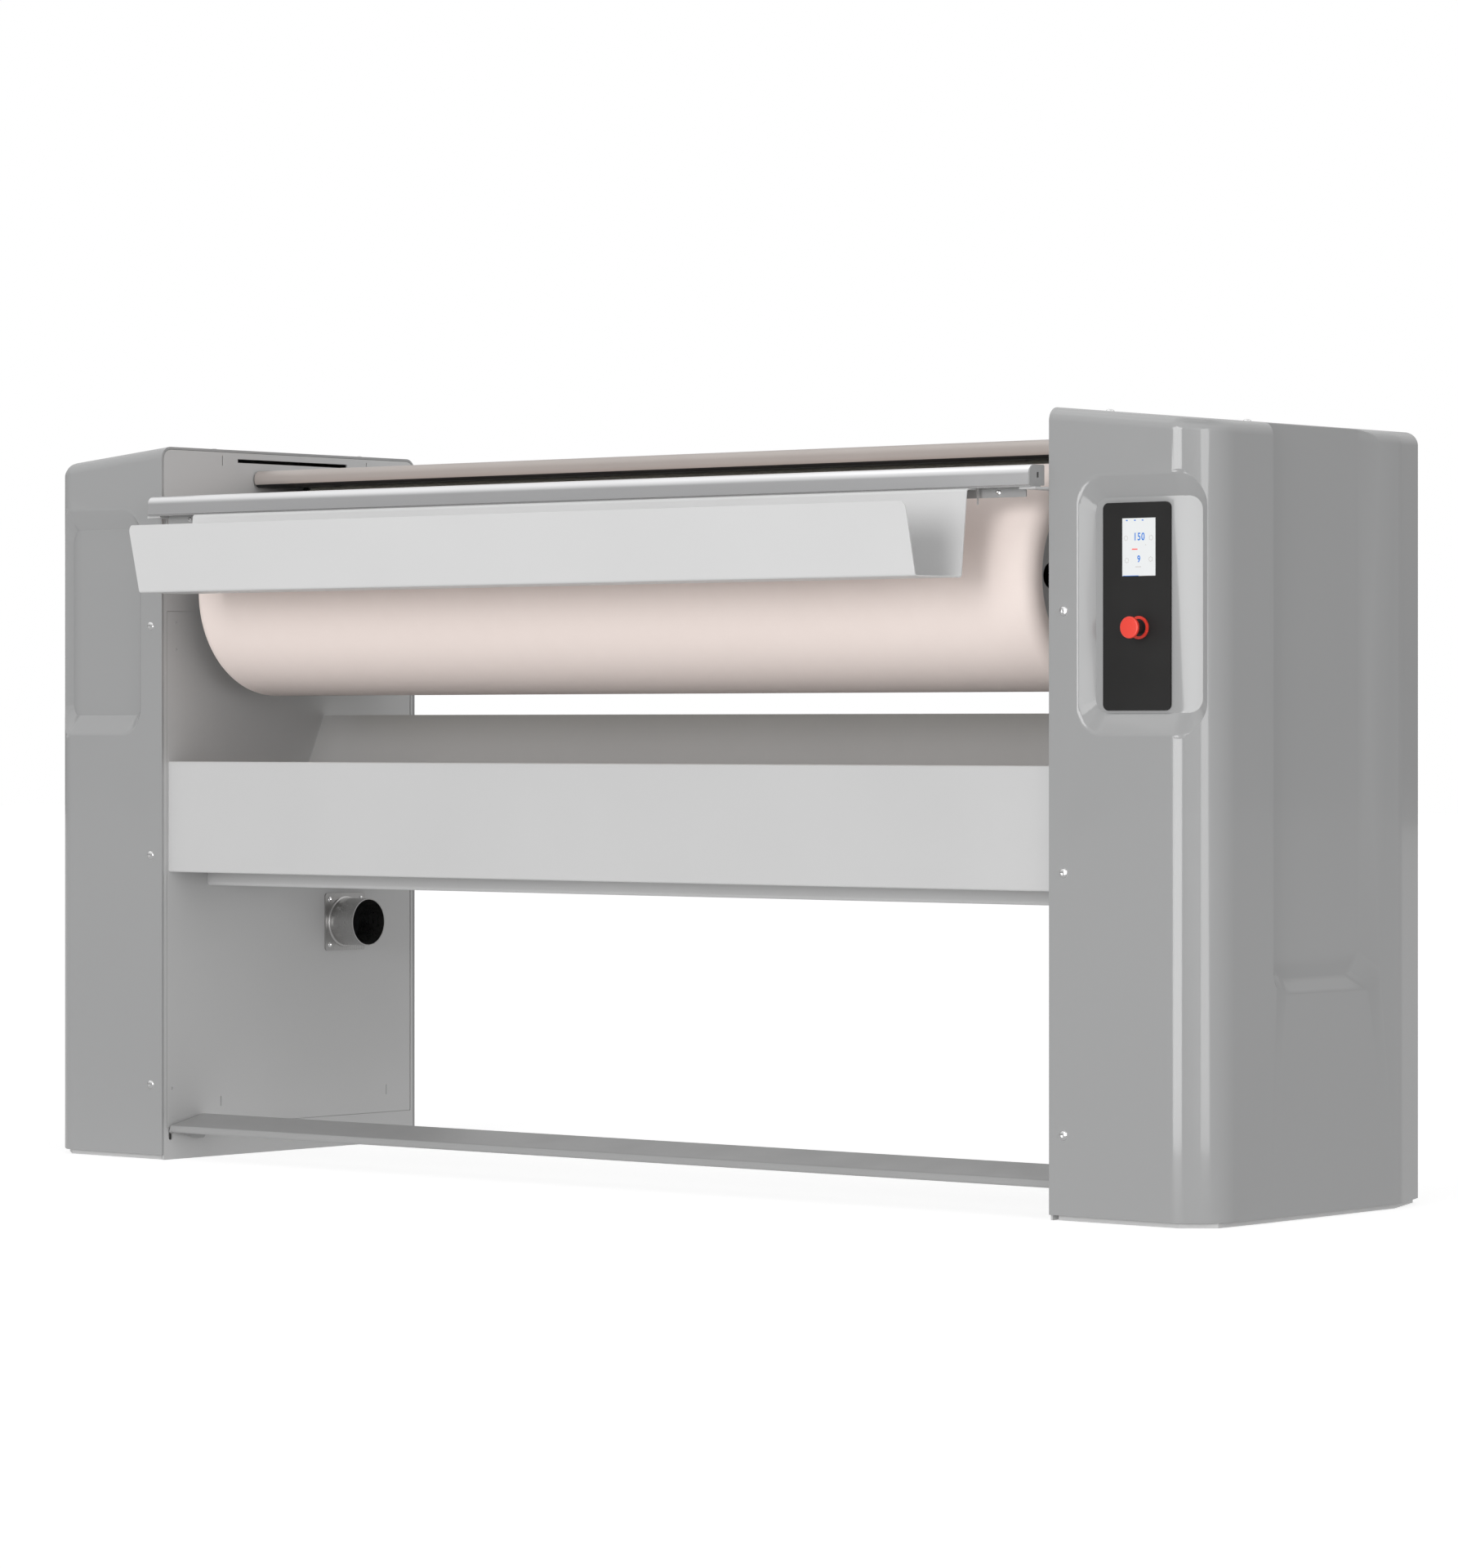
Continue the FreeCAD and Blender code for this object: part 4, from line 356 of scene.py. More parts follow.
MATERIALS = {
    "cover_gloss": cover_gloss(),
    "side_paint": paint("side_paint", 0.57, low=0.42, high=0.5)[0],
    "plinth_paint": paint("plinth_paint", 0.60, low=0.45, high=0.6)[0],
    "fascia_paint": paint("fascia_paint", 0.65, low=0.34, high=0.42)[0],
    "trough_paint": paint("trough_paint", 0.74, low=0.34, high=0.42)[0],
    "tray_steel": tray_steel(),
    "guard_steel": guard_steel(),
    "rail_aluminium": metal("rail_aluminium", 0.80, (1.0, 1.0, 1.01), low=0.30, high=0.36, bump=0.02)[0],
    "cap_plastic": paint("cap_plastic", 0.36, low=0.4, high=0.5, texture=1500.0)[0],
    "strip_paint": paint("strip_paint", 0.36, low=0.42, high=0.5)[0],
    "black_plastic": paint("black_plastic", 0.018, low=0.4, high=0.5, texture=1500.0)[0],
    "black_paint": paint("black_paint", 0.022, low=0.5, high=0.6)[0],
    "beam_paint": paint("beam_paint", 0.39, low=0.34, high=0.44)[0],
    "roll_cloth": roll_cloth(),
    "roll_steel": metal("roll_steel", 0.5, low=0.25, high=0.4)[0],
    "bearing_iron": paint("bearing_iron", 0.12, low=0.5, high=0.7, texture=300.0, bump=0.3)[0],
    "drive_steel": metal("drive_steel", 0.36, low=0.25, high=0.45)[0],
    "motor_paint": paint("motor_paint", 0.09, (0.85, 0.95, 1.1), low=0.4, high=0.5)[0],
    "bracket_steel": metal("bracket_steel", 0.45, low=0.35, high=0.5)[0],
    "chest_metal": metal("chest_metal", 0.62, low=0.12, high=0.25)[0],
    "heater_steel": metal("heater_steel", 0.2, (1.0, 0.95, 0.9), low=0.4, high=0.55)[0],
    "insulation_wool": paint("insulation_wool", 0.7, (1.0, 0.97, 0.86), low=0.9, high=1.0,
                             texture=260.0, bump=0.6)[0],
    "zinc_sheet": metal("zinc_sheet", 0.55, (0.98, 1.0, 1.02), low=0.3, high=0.5)[0],
    "spigot_steel": metal("spigot_steel", 0.52, (1.0, 0.99, 0.98), low=0.25, high=0.4,
                          stretch=(900.0, 900.0, 4.0))[0],
    "screw_chrome": metal("screw_chrome", 0.8, low=0.06, high=0.14)[0],
    "panel_black": panel_black(),
    "screen_white": screen_white(),
    "belt_rubber": paint("belt_rubber", 0.02, low=0.6, high=0.75, texture=1200.0, bump=0.2)[0],
    "stop_red": paint("stop_red", 0.9, (1.0, 0.07, 0.045), low=0.25, high=0.3)[0],
}
INK_BLUE = display_ink("display_blue", (0.0, 0.17, 0.62))
INK_RED = display_ink("display_red", (0.90, 0.05, 0.03))
INK_GREY = display_ink("display_grey", (0.52, 0.50, 0.49))


WELD_REACH = 0.00001
CAD_SHARP_DEG = 32


def dress_nodes():
    """Every CAD node gets its slot's material and smooth curved faces; two nodes borrow another's paint."""
    slots = {entry["node"]: entry["material_slot"] for entry in frame["record"]["subparts"]}
    slots["cross_beam"] = slots["fascia_panel"]
    slots["roll_end_discs"] = slots["feed_trough"]
    for name, node in frame["nodes"].items():
        node.data.materials.clear()
        node.data.materials.append(MATERIALS[slots[name]])
        for face in node.data.polygons:
            face.use_smooth = True
            face.material_index = 0
        weld = node.modifiers.new("weld", "WELD")
        weld.merge_threshold = WELD_REACH
        split = node.modifiers.new("split", "EDGE_SPLIT")
        split.split_angle = math.radians(CAD_SHARP_DEG)
        even = node.modifiers.new("even", "WEIGHTED_NORMAL")
        even.weight = 100
        even.keep_sharp = True


dress_nodes()


# ---------------------------------------------------------------- helpers for rebuilt pieces
SHARP_DEG = 40


def lathe(name, profile, steps, centre, along=RIGHT):
    """Closed ring of revolution about the line through centre, from (distance along it, radius) points."""
    shape = bmesh.new()
    map_layer = shape.loops.layers.uv.new("weave")
    across = BACK if abs(along.dot(BACK)) < 0.9 else TOP
    third = along.cross(across).normalized()
    rings = []
    for i in range(steps):
        turn = 2 * math.pi * i / steps
        spoke = across * math.cos(turn) + third * math.sin(turn)
        rings.append([shape.verts.new(centre + along * a + spoke * r) for a, r in profile])
    travel = [0.0]
    for (a0, r0), (a1, r1) in zip(profile, profile[1:] + profile[:1]):
        travel.append(travel[-1] + math.hypot(a1 - a0, r1 - r0))
    widest = max(r for a, r in profile)
    arc = 2 * math.pi * widest / steps
    count = len(profile)
    for i in range(steps):
        for j in range(count):
            a = rings[i][j]
            b = rings[(i + 1) % steps][j]
            c = rings[(i + 1) % steps][(j + 1) % count]
            d = rings[i][(j + 1) % count]
            face = shape.faces.new((a, b, c, d))
            face.smooth = True
            for loop, (u, v) in zip(face.loops, ((i, j), (i + 1, j), (i + 1, j + 1), (i, j + 1))):
                loop[map_layer].uv = (u * arc, travel[v])
    bmesh.ops.recalc_face_normals(shape, faces=shape.faces)
    return new_piece(name, shape)


def new_piece(name, shape):
    """Object in the scene, at the origin, from a bmesh."""
    mesh = bpy.data.meshes.new(name)
    shape.to_mesh(mesh)
    shape.free()
    piece = bpy.data.objects.new(name, mesh)
    bpy.context.scene.collection.objects.link(piece)
    return piece


def split_sharp(piece, degrees):
    """Edges sharper than this show as edges, and the rest is smooth."""
    split = piece.modifiers.new("split", "EDGE_SPLIT")
    split.split_angle = math.radians(degrees)


def joined(name, pieces):
    """One piece from several that ride on the same body."""
    shape = bmesh.new()
    for piece in pieces:
        shape.from_mesh(piece.data)
        bpy.data.objects.remove(piece)
    return new_piece(name, shape)


# ---------------------------------------------------------------- roll cover
COVER_EDGE = 0.022          # radius of the padding's rounded end
COVER_EDGE_STEPS = 10
COVER_LIP = 0.016           # how far the cover reaches in over the tube's end
COVER_PLAY = 0.0004
COVER_RING = 0.05           # rings of the cylinder, one from the next
COVER_STEPS = 180


def make_roll_cover():
    """Padding under its woven cover, drawn over the ends of the tube with a soft rounded edge."""
    low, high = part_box("roll_padding")
    half = high.x
    outer = (high.z - low.z) / 2
    tube_low, tube_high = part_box("roll_tube")
    tube_half = tube_high.x
    tube_r = (tube_high.z - tube_low.z) / 2
    lip_r = tube_r - COVER_LIP
    edge = COVER_EDGE
    right_side = [(half, lip_r), (half, outer - edge)]
    for i in range(1, COVER_EDGE_STEPS + 1):
        turn = math.pi / 2 * i / COVER_EDGE_STEPS
        right_side.append((half - edge + edge * math.cos(turn), outer - edge + edge * math.sin(turn)))
    outermost = int((half - edge) / COVER_RING) - 1
    middle = [(x * COVER_RING, outer) for x in range(outermost, -outermost, -1)]
    over_tube = tube_r + COVER_PLAY
    inner = [(-tube_half, lip_r), (-tube_half, over_tube), (tube_half, over_tube), (tube_half, lip_r)]
    left_side = [(-x, r) for x, r in reversed(right_side)]
    centre = Vector((0, ROLL_AXIS.y, ROLL_AXIS.z))
    piece = lathe("roll_cover", right_side + middle + left_side + inner, COVER_STEPS, centre)
    piece.data.materials.append(MATERIALS["roll_cloth"])
    split_sharp(piece, SHARP_DEG)
    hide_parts("roll_padding")
    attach(piece, "roll")


make_roll_cover()


# ---------------------------------------------------------------- stop button
CAP_DOME = 0.0006           # rise of the cap's face
CAP_EDGE = 0.0016
CAP_RIM = 0.0042            # depth of the rim behind the face
CAP_NECK_R = 0.0095
CAP_UNDER = 0.0008          # step under the rim
CAP_DOME_STEPS = 5
CAP_EDGE_STEPS = 6
CAP_SIDES = 64


def make_stop_button():
    """Mushroom head of the emergency stop, slightly domed, with its neck behind."""
    low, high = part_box("stop_switch_cap")
    radius = (high.z - low.z) / 2
    depth = high.y - low.y
    flat = radius - CAP_EDGE
    profile = [(0.0, AXIS_GAP)]
    for i in range(1, CAP_DOME_STEPS + 1):
        profile.append((CAP_DOME * (i / CAP_DOME_STEPS) ** 2, flat * i / CAP_DOME_STEPS))
    for i in range(1, CAP_EDGE_STEPS + 1):
        turn = math.pi / 2 * i / CAP_EDGE_STEPS
        profile.append((CAP_DOME + CAP_EDGE * (1 - math.cos(turn)), flat + CAP_EDGE * math.sin(turn)))
    profile += [(CAP_RIM, radius), (CAP_RIM + CAP_UNDER * 0.75, radius - CAP_UNDER),
                (CAP_RIM + CAP_UNDER, CAP_NECK_R), (depth, CAP_NECK_R - CAP_UNDER / 2), (depth, AXIS_GAP)]
    face = Vector(((low.x + high.x) / 2, low.y, (low.z + high.z) / 2))
    piece = lathe("stop_button", profile, CAP_SIDES, face, BACK)
    piece.data.materials.append(MATERIALS["stop_red"])
    split_sharp(piece, SHARP_DEG)
    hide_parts("stop_switch_cap")
    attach(piece, "stop_cap")


make_stop_button()


# ---------------------------------------------------------------- screws
COVER_SCREW_R = 0.0065
SMALL_SCREW_R = 0.004
TOP_SCREW_SHARE = 0.85      # size of the screws on the tops, beside those on the fronts
TOP_SLOPE_DEG = 5.4
FRONT_SCREW_NEAR = 0.0232   # from the column's inner face
FRONT_SCREW_HEIGHTS = (0.1095, 0.4444, 0.779)
TOP_SCREW_NEAR = 0.011
TOP_SCREW_DEPTHS = (0.118, 0.428)
SPIGOT_FLANGE = 0.002
SPIGOT_BOLT_OFFSET = 0.034
STRIP_SHEET = 0.002
STRIP_BOLT_X = 0.734
STRIP_BOLT_DROP = 0.0055
STRIP_STUD_X = 0.706
STUD_Y = -0.020
STUD_R = 0.0015
STUD_LENGTH = 0.021
STUD_SIDES = 16
THREAD_PITCH = 0.001
THREAD_DEPTH = 0.0003
THREAD_GAP = 0.0001         # plain bottom between two turns of the thread
STUD_CORE = 0.0002
SCREW_SHARP_DEG = 38
HEAD_SHAPE = (("Head Radius", 1.0), ("Dome Height", 0.49), ("Socket Radius", 0.36), ("Socket Depth", 0.27))
SCREW_MERGE = 0.000001


def make_screw_tree():
    """Domed screw heads with a hexagon socket, one on each point, turned to its facing vector.

    A grid is rolled up into a head: its rows go from the socket's middle out over the dome and back
    to the middle of the underside, and its columns go round.
    """
    tree = bpy.data.node_groups.new("domed_screws", "GeometryNodeTree")
    tree.interface.new_socket("Points", in_out="INPUT", socket_type="NodeSocketGeometry")
    for label, size in (("Head Radius", 0.0065), ("Dome Height", 0.0032), ("Socket Radius", 0.0022),
                        ("Socket Depth", 0.0017)):
        socket = tree.interface.new_socket(label, in_out="INPUT", socket_type="NodeSocketFloat")
        socket.default_value = size
    for label, count in (("Sides", 36), ("Rings", 7)):
        socket = tree.interface.new_socket(label, in_out="INPUT", socket_type="NodeSocketInt")
        socket.default_value = count
    tree.interface.new_socket("Material", in_out="INPUT", socket_type="NodeSocketMaterial")
    tree.interface.new_socket("Screws", in_out="OUTPUT", socket_type="NodeSocketGeometry")
    given = tree.nodes.new("NodeGroupInput").outputs
    result = tree.nodes.new("NodeGroupOutput")

    rows = math_node(tree, "ADD", given["Rings"], 4)
    grid = tree.nodes.new("GeometryNodeMeshGrid")
    tree.links.new(math_node(tree, "ADD", given["Sides"], 1), grid.inputs["Vertices X"])
    tree.links.new(rows, grid.inputs["Vertices Y"])
    place = tree.nodes.new("ShaderNodeSeparateXYZ")
    tree.links.new(tree.nodes.new("GeometryNodeInputPosition").outputs[0], place.inputs[0])
    turn = math_node(tree, "MULTIPLY", math_node(tree, "ADD", place.outputs["X"], 0.5), 2 * math.pi)
    last = math_node(tree, "SUBTRACT", rows, 1)
    row = math_node(tree, "MULTIPLY", math_node(tree, "ADD", place.outputs["Y"], 0.5), last)
    row = math_node(tree, "ROUND", row)

    inner = math_node(tree, "MULTIPLY", given["Socket Radius"], math.cos(math.pi / 6))
    part = math_node(tree, "SUBTRACT", math_node(tree, "MODULO", turn, math.pi / 3), math.pi / 6)
    hexagon = math_node(tree, "DIVIDE", inner, math_node(tree, "COSINE", part))
    outward = span(tree, row, 2.0, math_node(tree, "SUBTRACT", last, 1), 0.0, 1.0)
    radius = span(tree, outward, 0.0, 1.0, hexagon, given["Head Radius"])
    share = math_node(tree, "DIVIDE", radius, given["Head Radius"])
    square = math_node(tree, "MULTIPLY", share, share)
    fall = math_node(tree, "SQRT", math_node(tree, "SUBTRACT", 1.0, square))
    dome = math_node(tree, "MULTIPLY", fall, given["Dome Height"])
    floor = math_node(tree, "SUBTRACT", given["Dome Height"], given["Socket Depth"])
    in_socket = math_node(tree, "LESS_THAN", row, 1.5)
    at_back = math_node(tree, "GREATER_THAN", row, math_node(tree, "SUBTRACT", last, 0.5))
    at_middle = math_node(tree, "MAXIMUM", math_node(tree, "LESS_THAN", row, 0.5), at_back)
    height = span(tree, in_socket, 0.0, 1.0, dome, floor)
    height = span(tree, at_back, 0.0, 1.0, height, 0.0)
    radius = span(tree, at_middle, 0.0, 1.0, radius, 0.0)

    where = tree.nodes.new("ShaderNodeCombineXYZ")
    tree.links.new(math_node(tree, "MULTIPLY", radius, math_node(tree, "COSINE", turn)), where.inputs["X"])
    tree.links.new(math_node(tree, "MULTIPLY", radius, math_node(tree, "SINE", turn)), where.inputs["Y"])
    tree.links.new(height, where.inputs["Z"])
    moved = tree.nodes.new("GeometryNodeSetPosition")
    tree.links.new(grid.outputs["Mesh"], moved.inputs["Geometry"])
    tree.links.new(where.outputs["Vector"], moved.inputs["Position"])
    merged = tree.nodes.new("GeometryNodeMergeByDistance")
    merged.inputs["Distance"].default_value = SCREW_MERGE
    tree.links.new(moved.outputs["Geometry"], merged.inputs["Geometry"])

    facing = tree.nodes.new("GeometryNodeInputNamedAttribute")
    facing.data_type = "FLOAT_VECTOR"
    facing.inputs["Name"].default_value = "facing"
    turned = tree.nodes.new("FunctionNodeAlignRotationToVector")
    turned.axis = "Z"
    tree.links.new(facing.outputs["Attribute"], turned.inputs["Vector"])
    scale = tree.nodes.new("GeometryNodeInputNamedAttribute")
    scale.data_type = "FLOAT"
    scale.inputs["Name"].default_value = "scale"
    spread = tree.nodes.new("GeometryNodeInstanceOnPoints")
    tree.links.new(given["Points"], spread.inputs["Points"])
    tree.links.new(merged.outputs["Geometry"], spread.inputs["Instance"])
    tree.links.new(turned.outputs["Rotation"], spread.inputs["Rotation"])
    tree.links.new(scale.outputs["Attribute"], spread.inputs["Scale"])
    realized = tree.nodes.new("GeometryNodeRealizeInstances")
    painted = tree.nodes.new("GeometryNodeSetMaterial")
    tree.links.new(spread.outputs["Instances"], realized.inputs["Geometry"])
    tree.links.new(realized.outputs["Geometry"], painted.inputs["Geometry"])
    tree.links.new(given["Material"], painted.inputs["Material"])
    tree.links.new(painted.outputs["Geometry"], result.inputs["Screws"])
    return tree


def screws(name, places, head_r):
    """Screws at (seat, facing, scale) places, made by the tree and then kept as a plain mesh."""
    mesh = bpy.data.meshes.new(name)
    mesh.from_pydata([seat for seat, facing, scale in places], [], [])
    mesh.attributes.new("facing", "FLOAT_VECTOR", "POINT")
    mesh.attributes.new("scale", "FLOAT", "POINT")
    for i, (seat, way, size) in enumerate(places):
        mesh.attributes["facing"].data[i].vector = way
        mesh.attributes["scale"].data[i].value = size
    piece = bpy.data.objects.new(name, mesh)
    bpy.context.scene.collection.objects.link(piece)
    modifier = piece.modifiers.new("screws", "NODES")
    modifier.node_group = SCREW_TREE
    sockets = {item.name: item.identifier for item in SCREW_TREE.interface.items_tree}
    for label, share in HEAD_SHAPE:
        modifier[sockets[label]] = head_r * share
    modifier[sockets["Material"]] = MATERIALS["screw_chrome"]
    evaluated = piece.evaluated_get(bpy.context.evaluated_depsgraph_get())
    plain = bpy.data.meshes.new_from_object(evaluated)
    piece.modifiers.clear()
    piece.data = plain
    shape = bmesh.new()
    shape.from_mesh(plain)
    bmesh.ops.recalc_face_normals(shape, faces=shape.faces)
    for face in shape.faces:
        face.smooth = True
        face.material_index = 0
    shape.to_mesh(plain)
    shape.free()
    plain.materials.clear()
    plain.materials.append(MATERIALS["screw_chrome"])
    return piece


def both_columns(seat, way, scale):
    """A screw's place on the right and its mirror image on the left."""
    return [(seat, way, scale), (Vector((-seat.x, seat.y, seat.z)), Vector((-way.x, way.y, way.z)), scale)]


def make_cover_screws():
    """Screws on the columns' fronts and on their sloping tops."""
    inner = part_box("side_frame_right")[0].x
    front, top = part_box("column_cover_right")[0].y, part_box("column_cover_right")[1].z
    slope = math.radians(TOP_SLOPE_DEG)
    places = []
    for height in FRONT_SCREW_HEIGHTS:
        places += both_columns(Vector((inner + FRONT_SCREW_NEAR, front, height)), -BACK, 1.0)
    for depth in TOP_SCREW_DEPTHS:
        seat = Vector((inner + TOP_SCREW_NEAR, front + depth, top - TOP_SCREW_NEAR * math.tan(slope)))
        places += both_columns(seat, Vector((math.sin(slope), 0, math.cos(slope))), TOP_SCREW_SHARE)
    piece = screws("cover_screw_heads", places, COVER_SCREW_R)
    finish_metal(piece, "cover_screws")


def make_small_screws():
    """Screws of the spigot's flange, bolts of the mounting strip and the trough's threaded studs."""
    low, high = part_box("exhaust_spigot")
    middle = (low + high) / 2
    seat_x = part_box("side_frame_left")[1].x + SPIGOT_FLANGE
    places = []
    for across in (-1, 1):
        for up in (-1, 1):
            seat = Vector((seat_x, middle.y + across * SPIGOT_BOLT_OFFSET,
                           middle.z + up * SPIGOT_BOLT_OFFSET))
            places.append((seat, RIGHT, 1.0))
    web_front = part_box("mounting_strip")[1].y - STRIP_SHEET
    strip_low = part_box("feed_rail")[0].z - STRIP_SHEET
    places += both_columns(Vector((STRIP_BOLT_X, web_front, strip_low - STRIP_BOLT_DROP)), -BACK, 1.0)
    pieces = [screws("small_screw_heads", places, SMALL_SCREW_R)]
    profile = [(0.0, STUD_CORE)]
    threads = round(STUD_LENGTH / THREAD_PITCH)
    for i in range(threads):
        start = i * STUD_LENGTH / threads
        profile += [(start + THREAD_GAP, STUD_R - THREAD_DEPTH), (start + THREAD_PITCH / 2, STUD_R)]
    profile += [(STUD_LENGTH, STUD_R - THREAD_DEPTH), (STUD_LENGTH, STUD_CORE)]
    for side in (-1, 1):
        foot = Vector((side * STRIP_STUD_X, STUD_Y + front_plane(), strip_low - STUD_LENGTH))
        pieces.append(lathe("stud", profile, STUD_SIDES, foot, TOP))
    finish_metal(joined("small_screw_heads_and_studs", pieces), "small_screws")


def finish_metal(piece, node):
    """Bright metal, sharp edges and a ride on the frame, in place of a CAD node."""
    if not piece.data.materials:
        piece.data.materials.append(MATERIALS["screw_chrome"])
    split_sharp(piece, SCREW_SHARP_DEG)
    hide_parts(node)
    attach(piece, "frame")


SCREW_TREE = make_screw_tree()
make_cover_screws()
make_small_screws()


# ---------------------------------------------------------------- figures on the display
INK_DEPTH = 0.00012
INK_WEIGHT = 0.00018
FIGURE_HEIGHT = 0.70        # height of a figure, as a share of the font's size
FIGURE_WIDTH = 0.80
FIGURE_SPACING = 1.12
DASHES = 8
DASH_SPREAD = 0.25
DASH_INSIDE = 0.72


def on_display(across, up):
    """Point on the display's face from shares of its width and height."""
    low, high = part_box("display_screen")
    return Vector((low.x + (high.x - low.x) * across, low.y, low.z + (high.z - low.z) * up))


def flat_mark(name, corners, ink):
    """Thin flat mark on the display from (across, up) corners, as shares of the display."""
    shape = bmesh.new()
    front = [shape.verts.new(on_display(a, b) - BACK * INK_DEPTH) for a, b in corners]
    back = [shape.verts.new(on_display(a, b) + BACK * INK_DEPTH) for a, b in corners]
    shape.faces.new(front)
    shape.faces.new(back[::-1])
    count = len(corners)
    for i in range(count):
        shape.faces.new((front[i], back[i], back[(i + 1) % count], front[(i + 1) % count]))
    bmesh.ops.recalc_face_normals(shape, faces=shape.faces)
    piece = new_piece(name, shape)
    piece.data.materials.append(ink)
    return piece


def bar(name, across, up, width, height, ink):
    """Flat upright rectangle about a middle point."""
    corners = [(across - width / 2, up - height / 2), (across + width / 2, up - height / 2),
               (across + width / 2, up + height / 2), (across - width / 2, up + height / 2)]
    return flat_mark(name, corners, ink)


def ring_mark(name, across, up, radius, ink):
    """Row of short dashes round a circle, as a dial or a fan sign; radius is a share of the width."""
    low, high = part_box("display_screen")
    tall = (high.x - low.x) / (high.z - low.z)
    dashes = []
    for i in range(DASHES):
        turn = 2 * math.pi * i / DASHES
        corners = []
        for spread, reach in ((-DASH_SPREAD, DASH_INSIDE), (DASH_SPREAD, DASH_INSIDE),
                              (DASH_SPREAD, 1.0), (-DASH_SPREAD, 1.0)):
            corners.append((across + radius * reach * math.cos(turn + spread),
                            up + radius * reach * math.sin(turn + spread) * tall))
        dashes.append(flat_mark(name, corners, ink))
    return joined(name, dashes)


def figures(name, words, across, up, height, ink):
    """Plain figures, height a share of the display's height."""
    low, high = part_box("display_screen")
    text = bpy.data.curves.new(name, "FONT")
    text.body = words
    text.align_x = "CENTER"
    text.align_y = "CENTER"
    text.size = (high.z - low.z) * height / FIGURE_HEIGHT
    text.extrude = INK_DEPTH
    text.offset = INK_WEIGHT
    text.space_character = FIGURE_SPACING
    text.resolution_u = 4
    holder = bpy.data.objects.new(name, text)
    bpy.context.scene.collection.objects.link(holder)
    evaluated = holder.evaluated_get(bpy.context.evaluated_depsgraph_get())
    mesh = bpy.data.meshes.new_from_object(evaluated)
    bpy.data.objects.remove(holder)
    upright = Matrix.Rotation(math.pi / 2, 4, "X")
    narrow = Matrix.Diagonal((FIGURE_WIDTH, 1.0, 1.0, 1.0))
    mesh.transform(Matrix.Translation(on_display(across, up)) @ upright @ narrow)
    shape = bmesh.new()
    shape.from_mesh(mesh)
    bmesh.ops.remove_doubles(shape, verts=shape.verts, dist=0.000001)
    bmesh.ops.recalc_face_normals(shape, faces=shape.faces)
    piece = new_piece(name, shape)
    piece.data.materials.clear()
    piece.data.materials.append(ink)
    return piece


def finish_ink(name, pieces, ink):
    """Marks of one colour as one piece on the frame."""
    piece = joined(name, pieces)
    piece.data.materials.clear()
    piece.data.materials.append(ink)
    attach(piece, "frame")


def make_display_figures():
    """Heat, speed, a line and small signs; places and sizes are shares of the display."""
    blue = [figures("heat", "150", 0.505, 0.672, 0.130, INK_BLUE),
            figures("speed", "9", 0.496, 0.287, 0.118, INK_BLUE),
            bar("underline", 0.255, 0.004, 0.47, 0.008, INK_BLUE)]
    for across in (0.136, 0.379, 0.609):
        blue.append(bar("sign", across, 0.961, 0.05, 0.018, INK_BLUE))
    finish_ink("display_blue_figures", blue, INK_BLUE)
    finish_ink("display_red_dash", [bar("dash", 0.374, 0.463, 0.168, 0.017, INK_RED)], INK_RED)
    grey = [bar("unit", 0.48, 0.158, 0.17, 0.012, INK_GREY), bar("dot", 0.703, 0.534, 0.025, 0.012, INK_GREY)]
    for across, up in ((0.111, 0.655), (0.866, 0.655), (0.136, 0.270), (0.851, 0.287)):
        grey.append(ring_mark("sign", across, up, 0.064, INK_GREY))
    finish_ink("display_grey_marks", grey, INK_GREY)


make_display_figures()


# ---------------------------------------------------------------- floor, lights and camera
FLOOR_SIZE = 60
SKY_LEVEL = 0.50
SKY_BELT = 0.35
MIRRORED_LEVEL = 0.32
MIRRORED_BELT = 1.15
FLOOR_SEEN = 0.50
FLOOR_GLOW = 0.76
FLOOR_BOUNCE = 0.68
FLOOR_MIRRORED = 0.50
BOX_REACH = 1.3
BOX_HEIGHT = 1.6
CORNER_INSET = 0.042
LIGHT_HEIGHT = math.radians(8)
BELT_RISES_TO = 0.75        # sines of the elevations between which the sky's belt is full
BELT_FALLS_FROM = 0.80
BELT_AT_TOP = 0.1           # share of the belt that is left straight overhead
OVERHEAD_PLACE = (0.0, -0.3, 3.4)
OVERHEAD_AIM = (0.0, 0.1, 0.8)
OVERHEAD_SIZE = (2.8, 2.0)
OVERHEAD_WATTS = 10
FRONT_BOX = (math.radians(4.5), math.radians(22), 3.6)      # turn, half width, strength
RIGHT_BOX = (math.radians(57.5), math.radians(11), 2.6)
KEY_LIGHT = (math.radians(5), math.radians(30), 1.42)       # turn, spread, strength
SIDE_LIGHT = (math.radians(75), math.radians(40), 0.70)


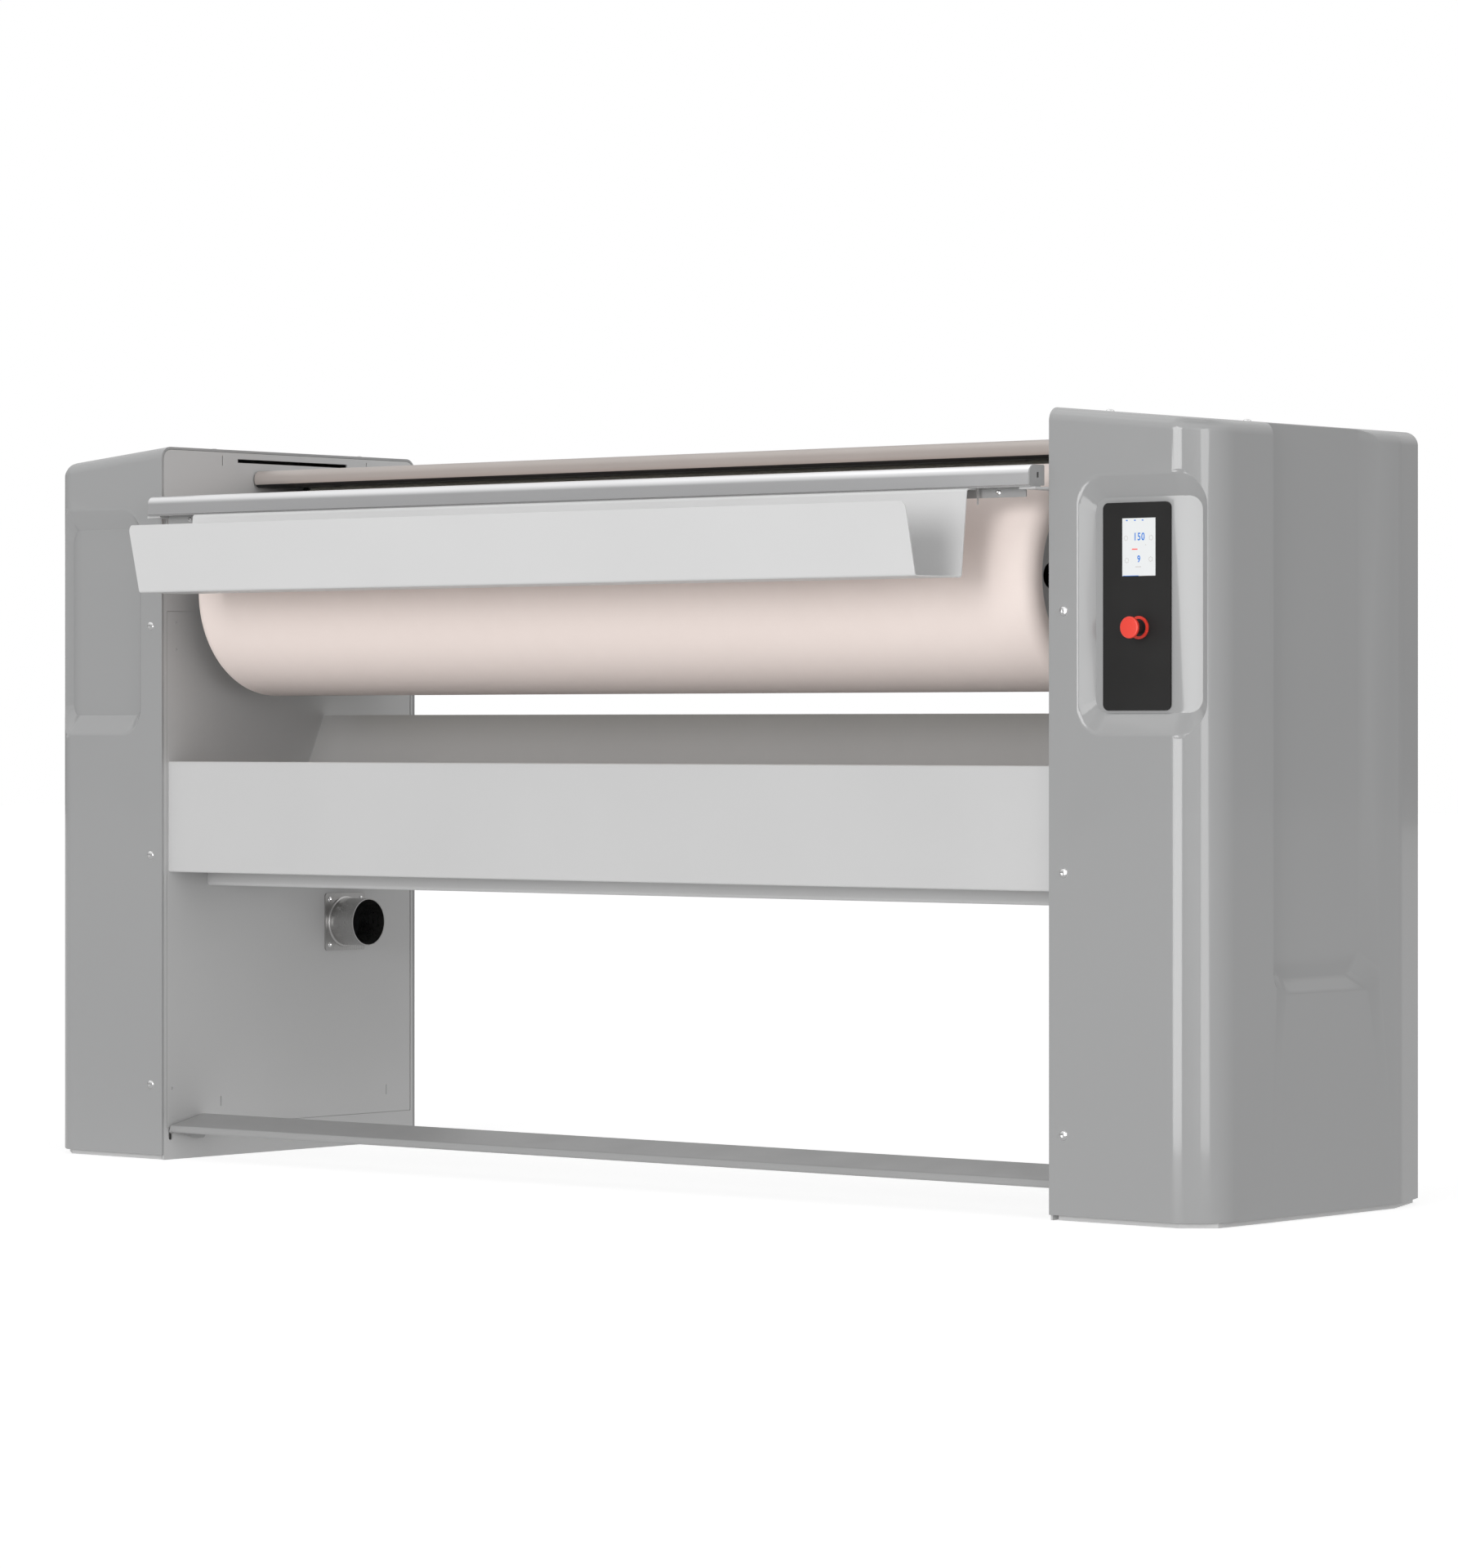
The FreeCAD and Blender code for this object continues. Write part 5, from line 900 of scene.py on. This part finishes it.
def make_floor():
    """Plain floor: white to the camera, with the machine's shadow, and an even grey to light and mirrors."""
    bpy.ops.mesh.primitive_plane_add(size=FLOOR_SIZE)
    floor = bpy.context.object
    floor.name = "floor"
    material = bpy.data.materials.new("floor_white")
    material.use_nodes = True
    tree = material.node_tree
    shader = tree.nodes["Principled BSDF"]
    path = tree.nodes.new("ShaderNodeLightPath")
    glow = 0.0
    for ray, level in (("Is Camera Ray", FLOOR_GLOW), ("Is Diffuse Ray", FLOOR_BOUNCE),
                       ("Is Glossy Ray", FLOOR_MIRRORED)):
        glow = math_node(tree, "MAXIMUM", math_node(tree, "MULTIPLY", path.outputs[ray], level), glow)
    tree.links.new(math_node(tree, "MULTIPLY", path.outputs["Is Camera Ray"], FLOOR_SEEN),
                   shader.inputs["Base Color"])
    shader.inputs["Emission Color"].default_value = (1, 1, 1, 1)
    tree.links.new(glow, shader.inputs["Emission Strength"])
    shader.inputs["Roughness"].default_value = 0.9
    shader.inputs["Specular IOR Level"].default_value = 0.1
    floor.data.materials.append(material)


def area_light(name, place, aim, width, height, watts):
    """Rectangular lamp that the camera doesn't see."""
    data = bpy.data.lights.new(name, "AREA")
    data.shape = "RECTANGLE"
    data.size = width
    data.size_y = height
    data.energy = watts
    lamp = bpy.data.objects.new(name, data)
    lamp.location = place
    lamp.rotation_euler = (Vector(aim) - Vector(place)).to_track_quat("-Z", "Y").to_euler()
    lamp.visible_camera = False
    bpy.context.scene.collection.objects.link(lamp)
    return lamp


def mirrored_box(name, turn, half_width, strength):
    """Upright light box seen in reflections alone, as a bright band in the right column's slanted corner."""
    corner = Vector((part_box("column_cover_right")[1].x - CORNER_INSET, front_plane(), BOX_HEIGHT / 2))
    place = corner + BOX_REACH * Vector((math.sin(turn), -math.cos(turn), 0))
    width = 2 * BOX_REACH * math.tan(half_width)
    lamp = area_light(name, place, corner, width, BOX_HEIGHT, strength * math.pi * width * BOX_HEIGHT)
    lamp.visible_diffuse = False


def wide_light(name, turn, spread, strength):
    """Soft light from low in front, turned to the right, the same on both columns."""
    data = bpy.data.lights.new(name, "SUN")
    data.energy = strength
    data.angle = spread
    lamp = bpy.data.objects.new(name, data)
    lamp.rotation_euler = (math.pi / 2 - LIGHT_HEIGHT, 0, turn)
    lamp.visible_glossy = False
    bpy.context.scene.collection.objects.link(lamp)


def make_world():
    """White to the camera, and an even light whose belt high up is weaker, but bright in mirrors."""
    world = bpy.data.worlds.new("studio")
    bpy.context.scene.world = world
    world.use_nodes = True
    tree = world.node_tree
    background = tree.nodes["Background"]
    way = tree.nodes.new("ShaderNodeSeparateXYZ")
    tree.links.new(tree.nodes.new("ShaderNodeTexCoord").outputs["Generated"], way.inputs[0])
    path = tree.nodes.new("ShaderNodeLightPath")
    mirrored = path.outputs["Is Glossy Ray"]
    level = span(tree, mirrored, 0.0, 1.0, SKY_LEVEL, MIRRORED_LEVEL)
    belt = span(tree, mirrored, 0.0, 1.0, SKY_BELT, MIRRORED_BELT)
    rise = span(tree, way.outputs["Z"], 0.0, BELT_RISES_TO, 0.0, 1.0)
    fall = span(tree, way.outputs["Z"], BELT_FALLS_FROM, 1.0, 1.0, BELT_AT_TOP)
    light = span(tree, math_node(tree, "MINIMUM", rise, fall), 0.0, 1.0, level, belt)
    seen = math_node(tree, "MAXIMUM", path.outputs["Is Camera Ray"], path.outputs["Is Transmission Ray"])
    background.inputs["Color"].default_value = (1, 1, 1, 1)
    tree.links.new(span(tree, seen, 0.0, 1.0, light, 1.0), background.inputs["Strength"])


def make_camera():
    """The camera that took the photograph."""
    data = bpy.data.cameras.new("photo_camera")
    data.sensor_width = SENSOR
    data.lens = SENSOR * FOCAL_PIXELS / PHOTO_HEIGHT
    data.shift_y = (HORIZON_ROW - PHOTO_HEIGHT / 2) / PHOTO_HEIGHT
    data.clip_end = 100
    camera = bpy.data.objects.new("photo_camera", data)
    camera.location = CAMERA_PLACE
    camera.rotation_euler = (math.pi / 2, 0, CAMERA_TURN)
    bpy.context.scene.collection.objects.link(camera)
    bpy.context.scene.camera = camera


make_floor()
make_world()
area_light("overhead", OVERHEAD_PLACE, OVERHEAD_AIM, *OVERHEAD_SIZE, OVERHEAD_WATTS)
mirrored_box("front_box", *FRONT_BOX)
mirrored_box("right_box", *RIGHT_BOX)
wide_light("key", *KEY_LIGHT)
wide_light("side", *SIDE_LIGHT)
make_camera()
bpy.context.scene.view_settings.view_transform = "Standard"
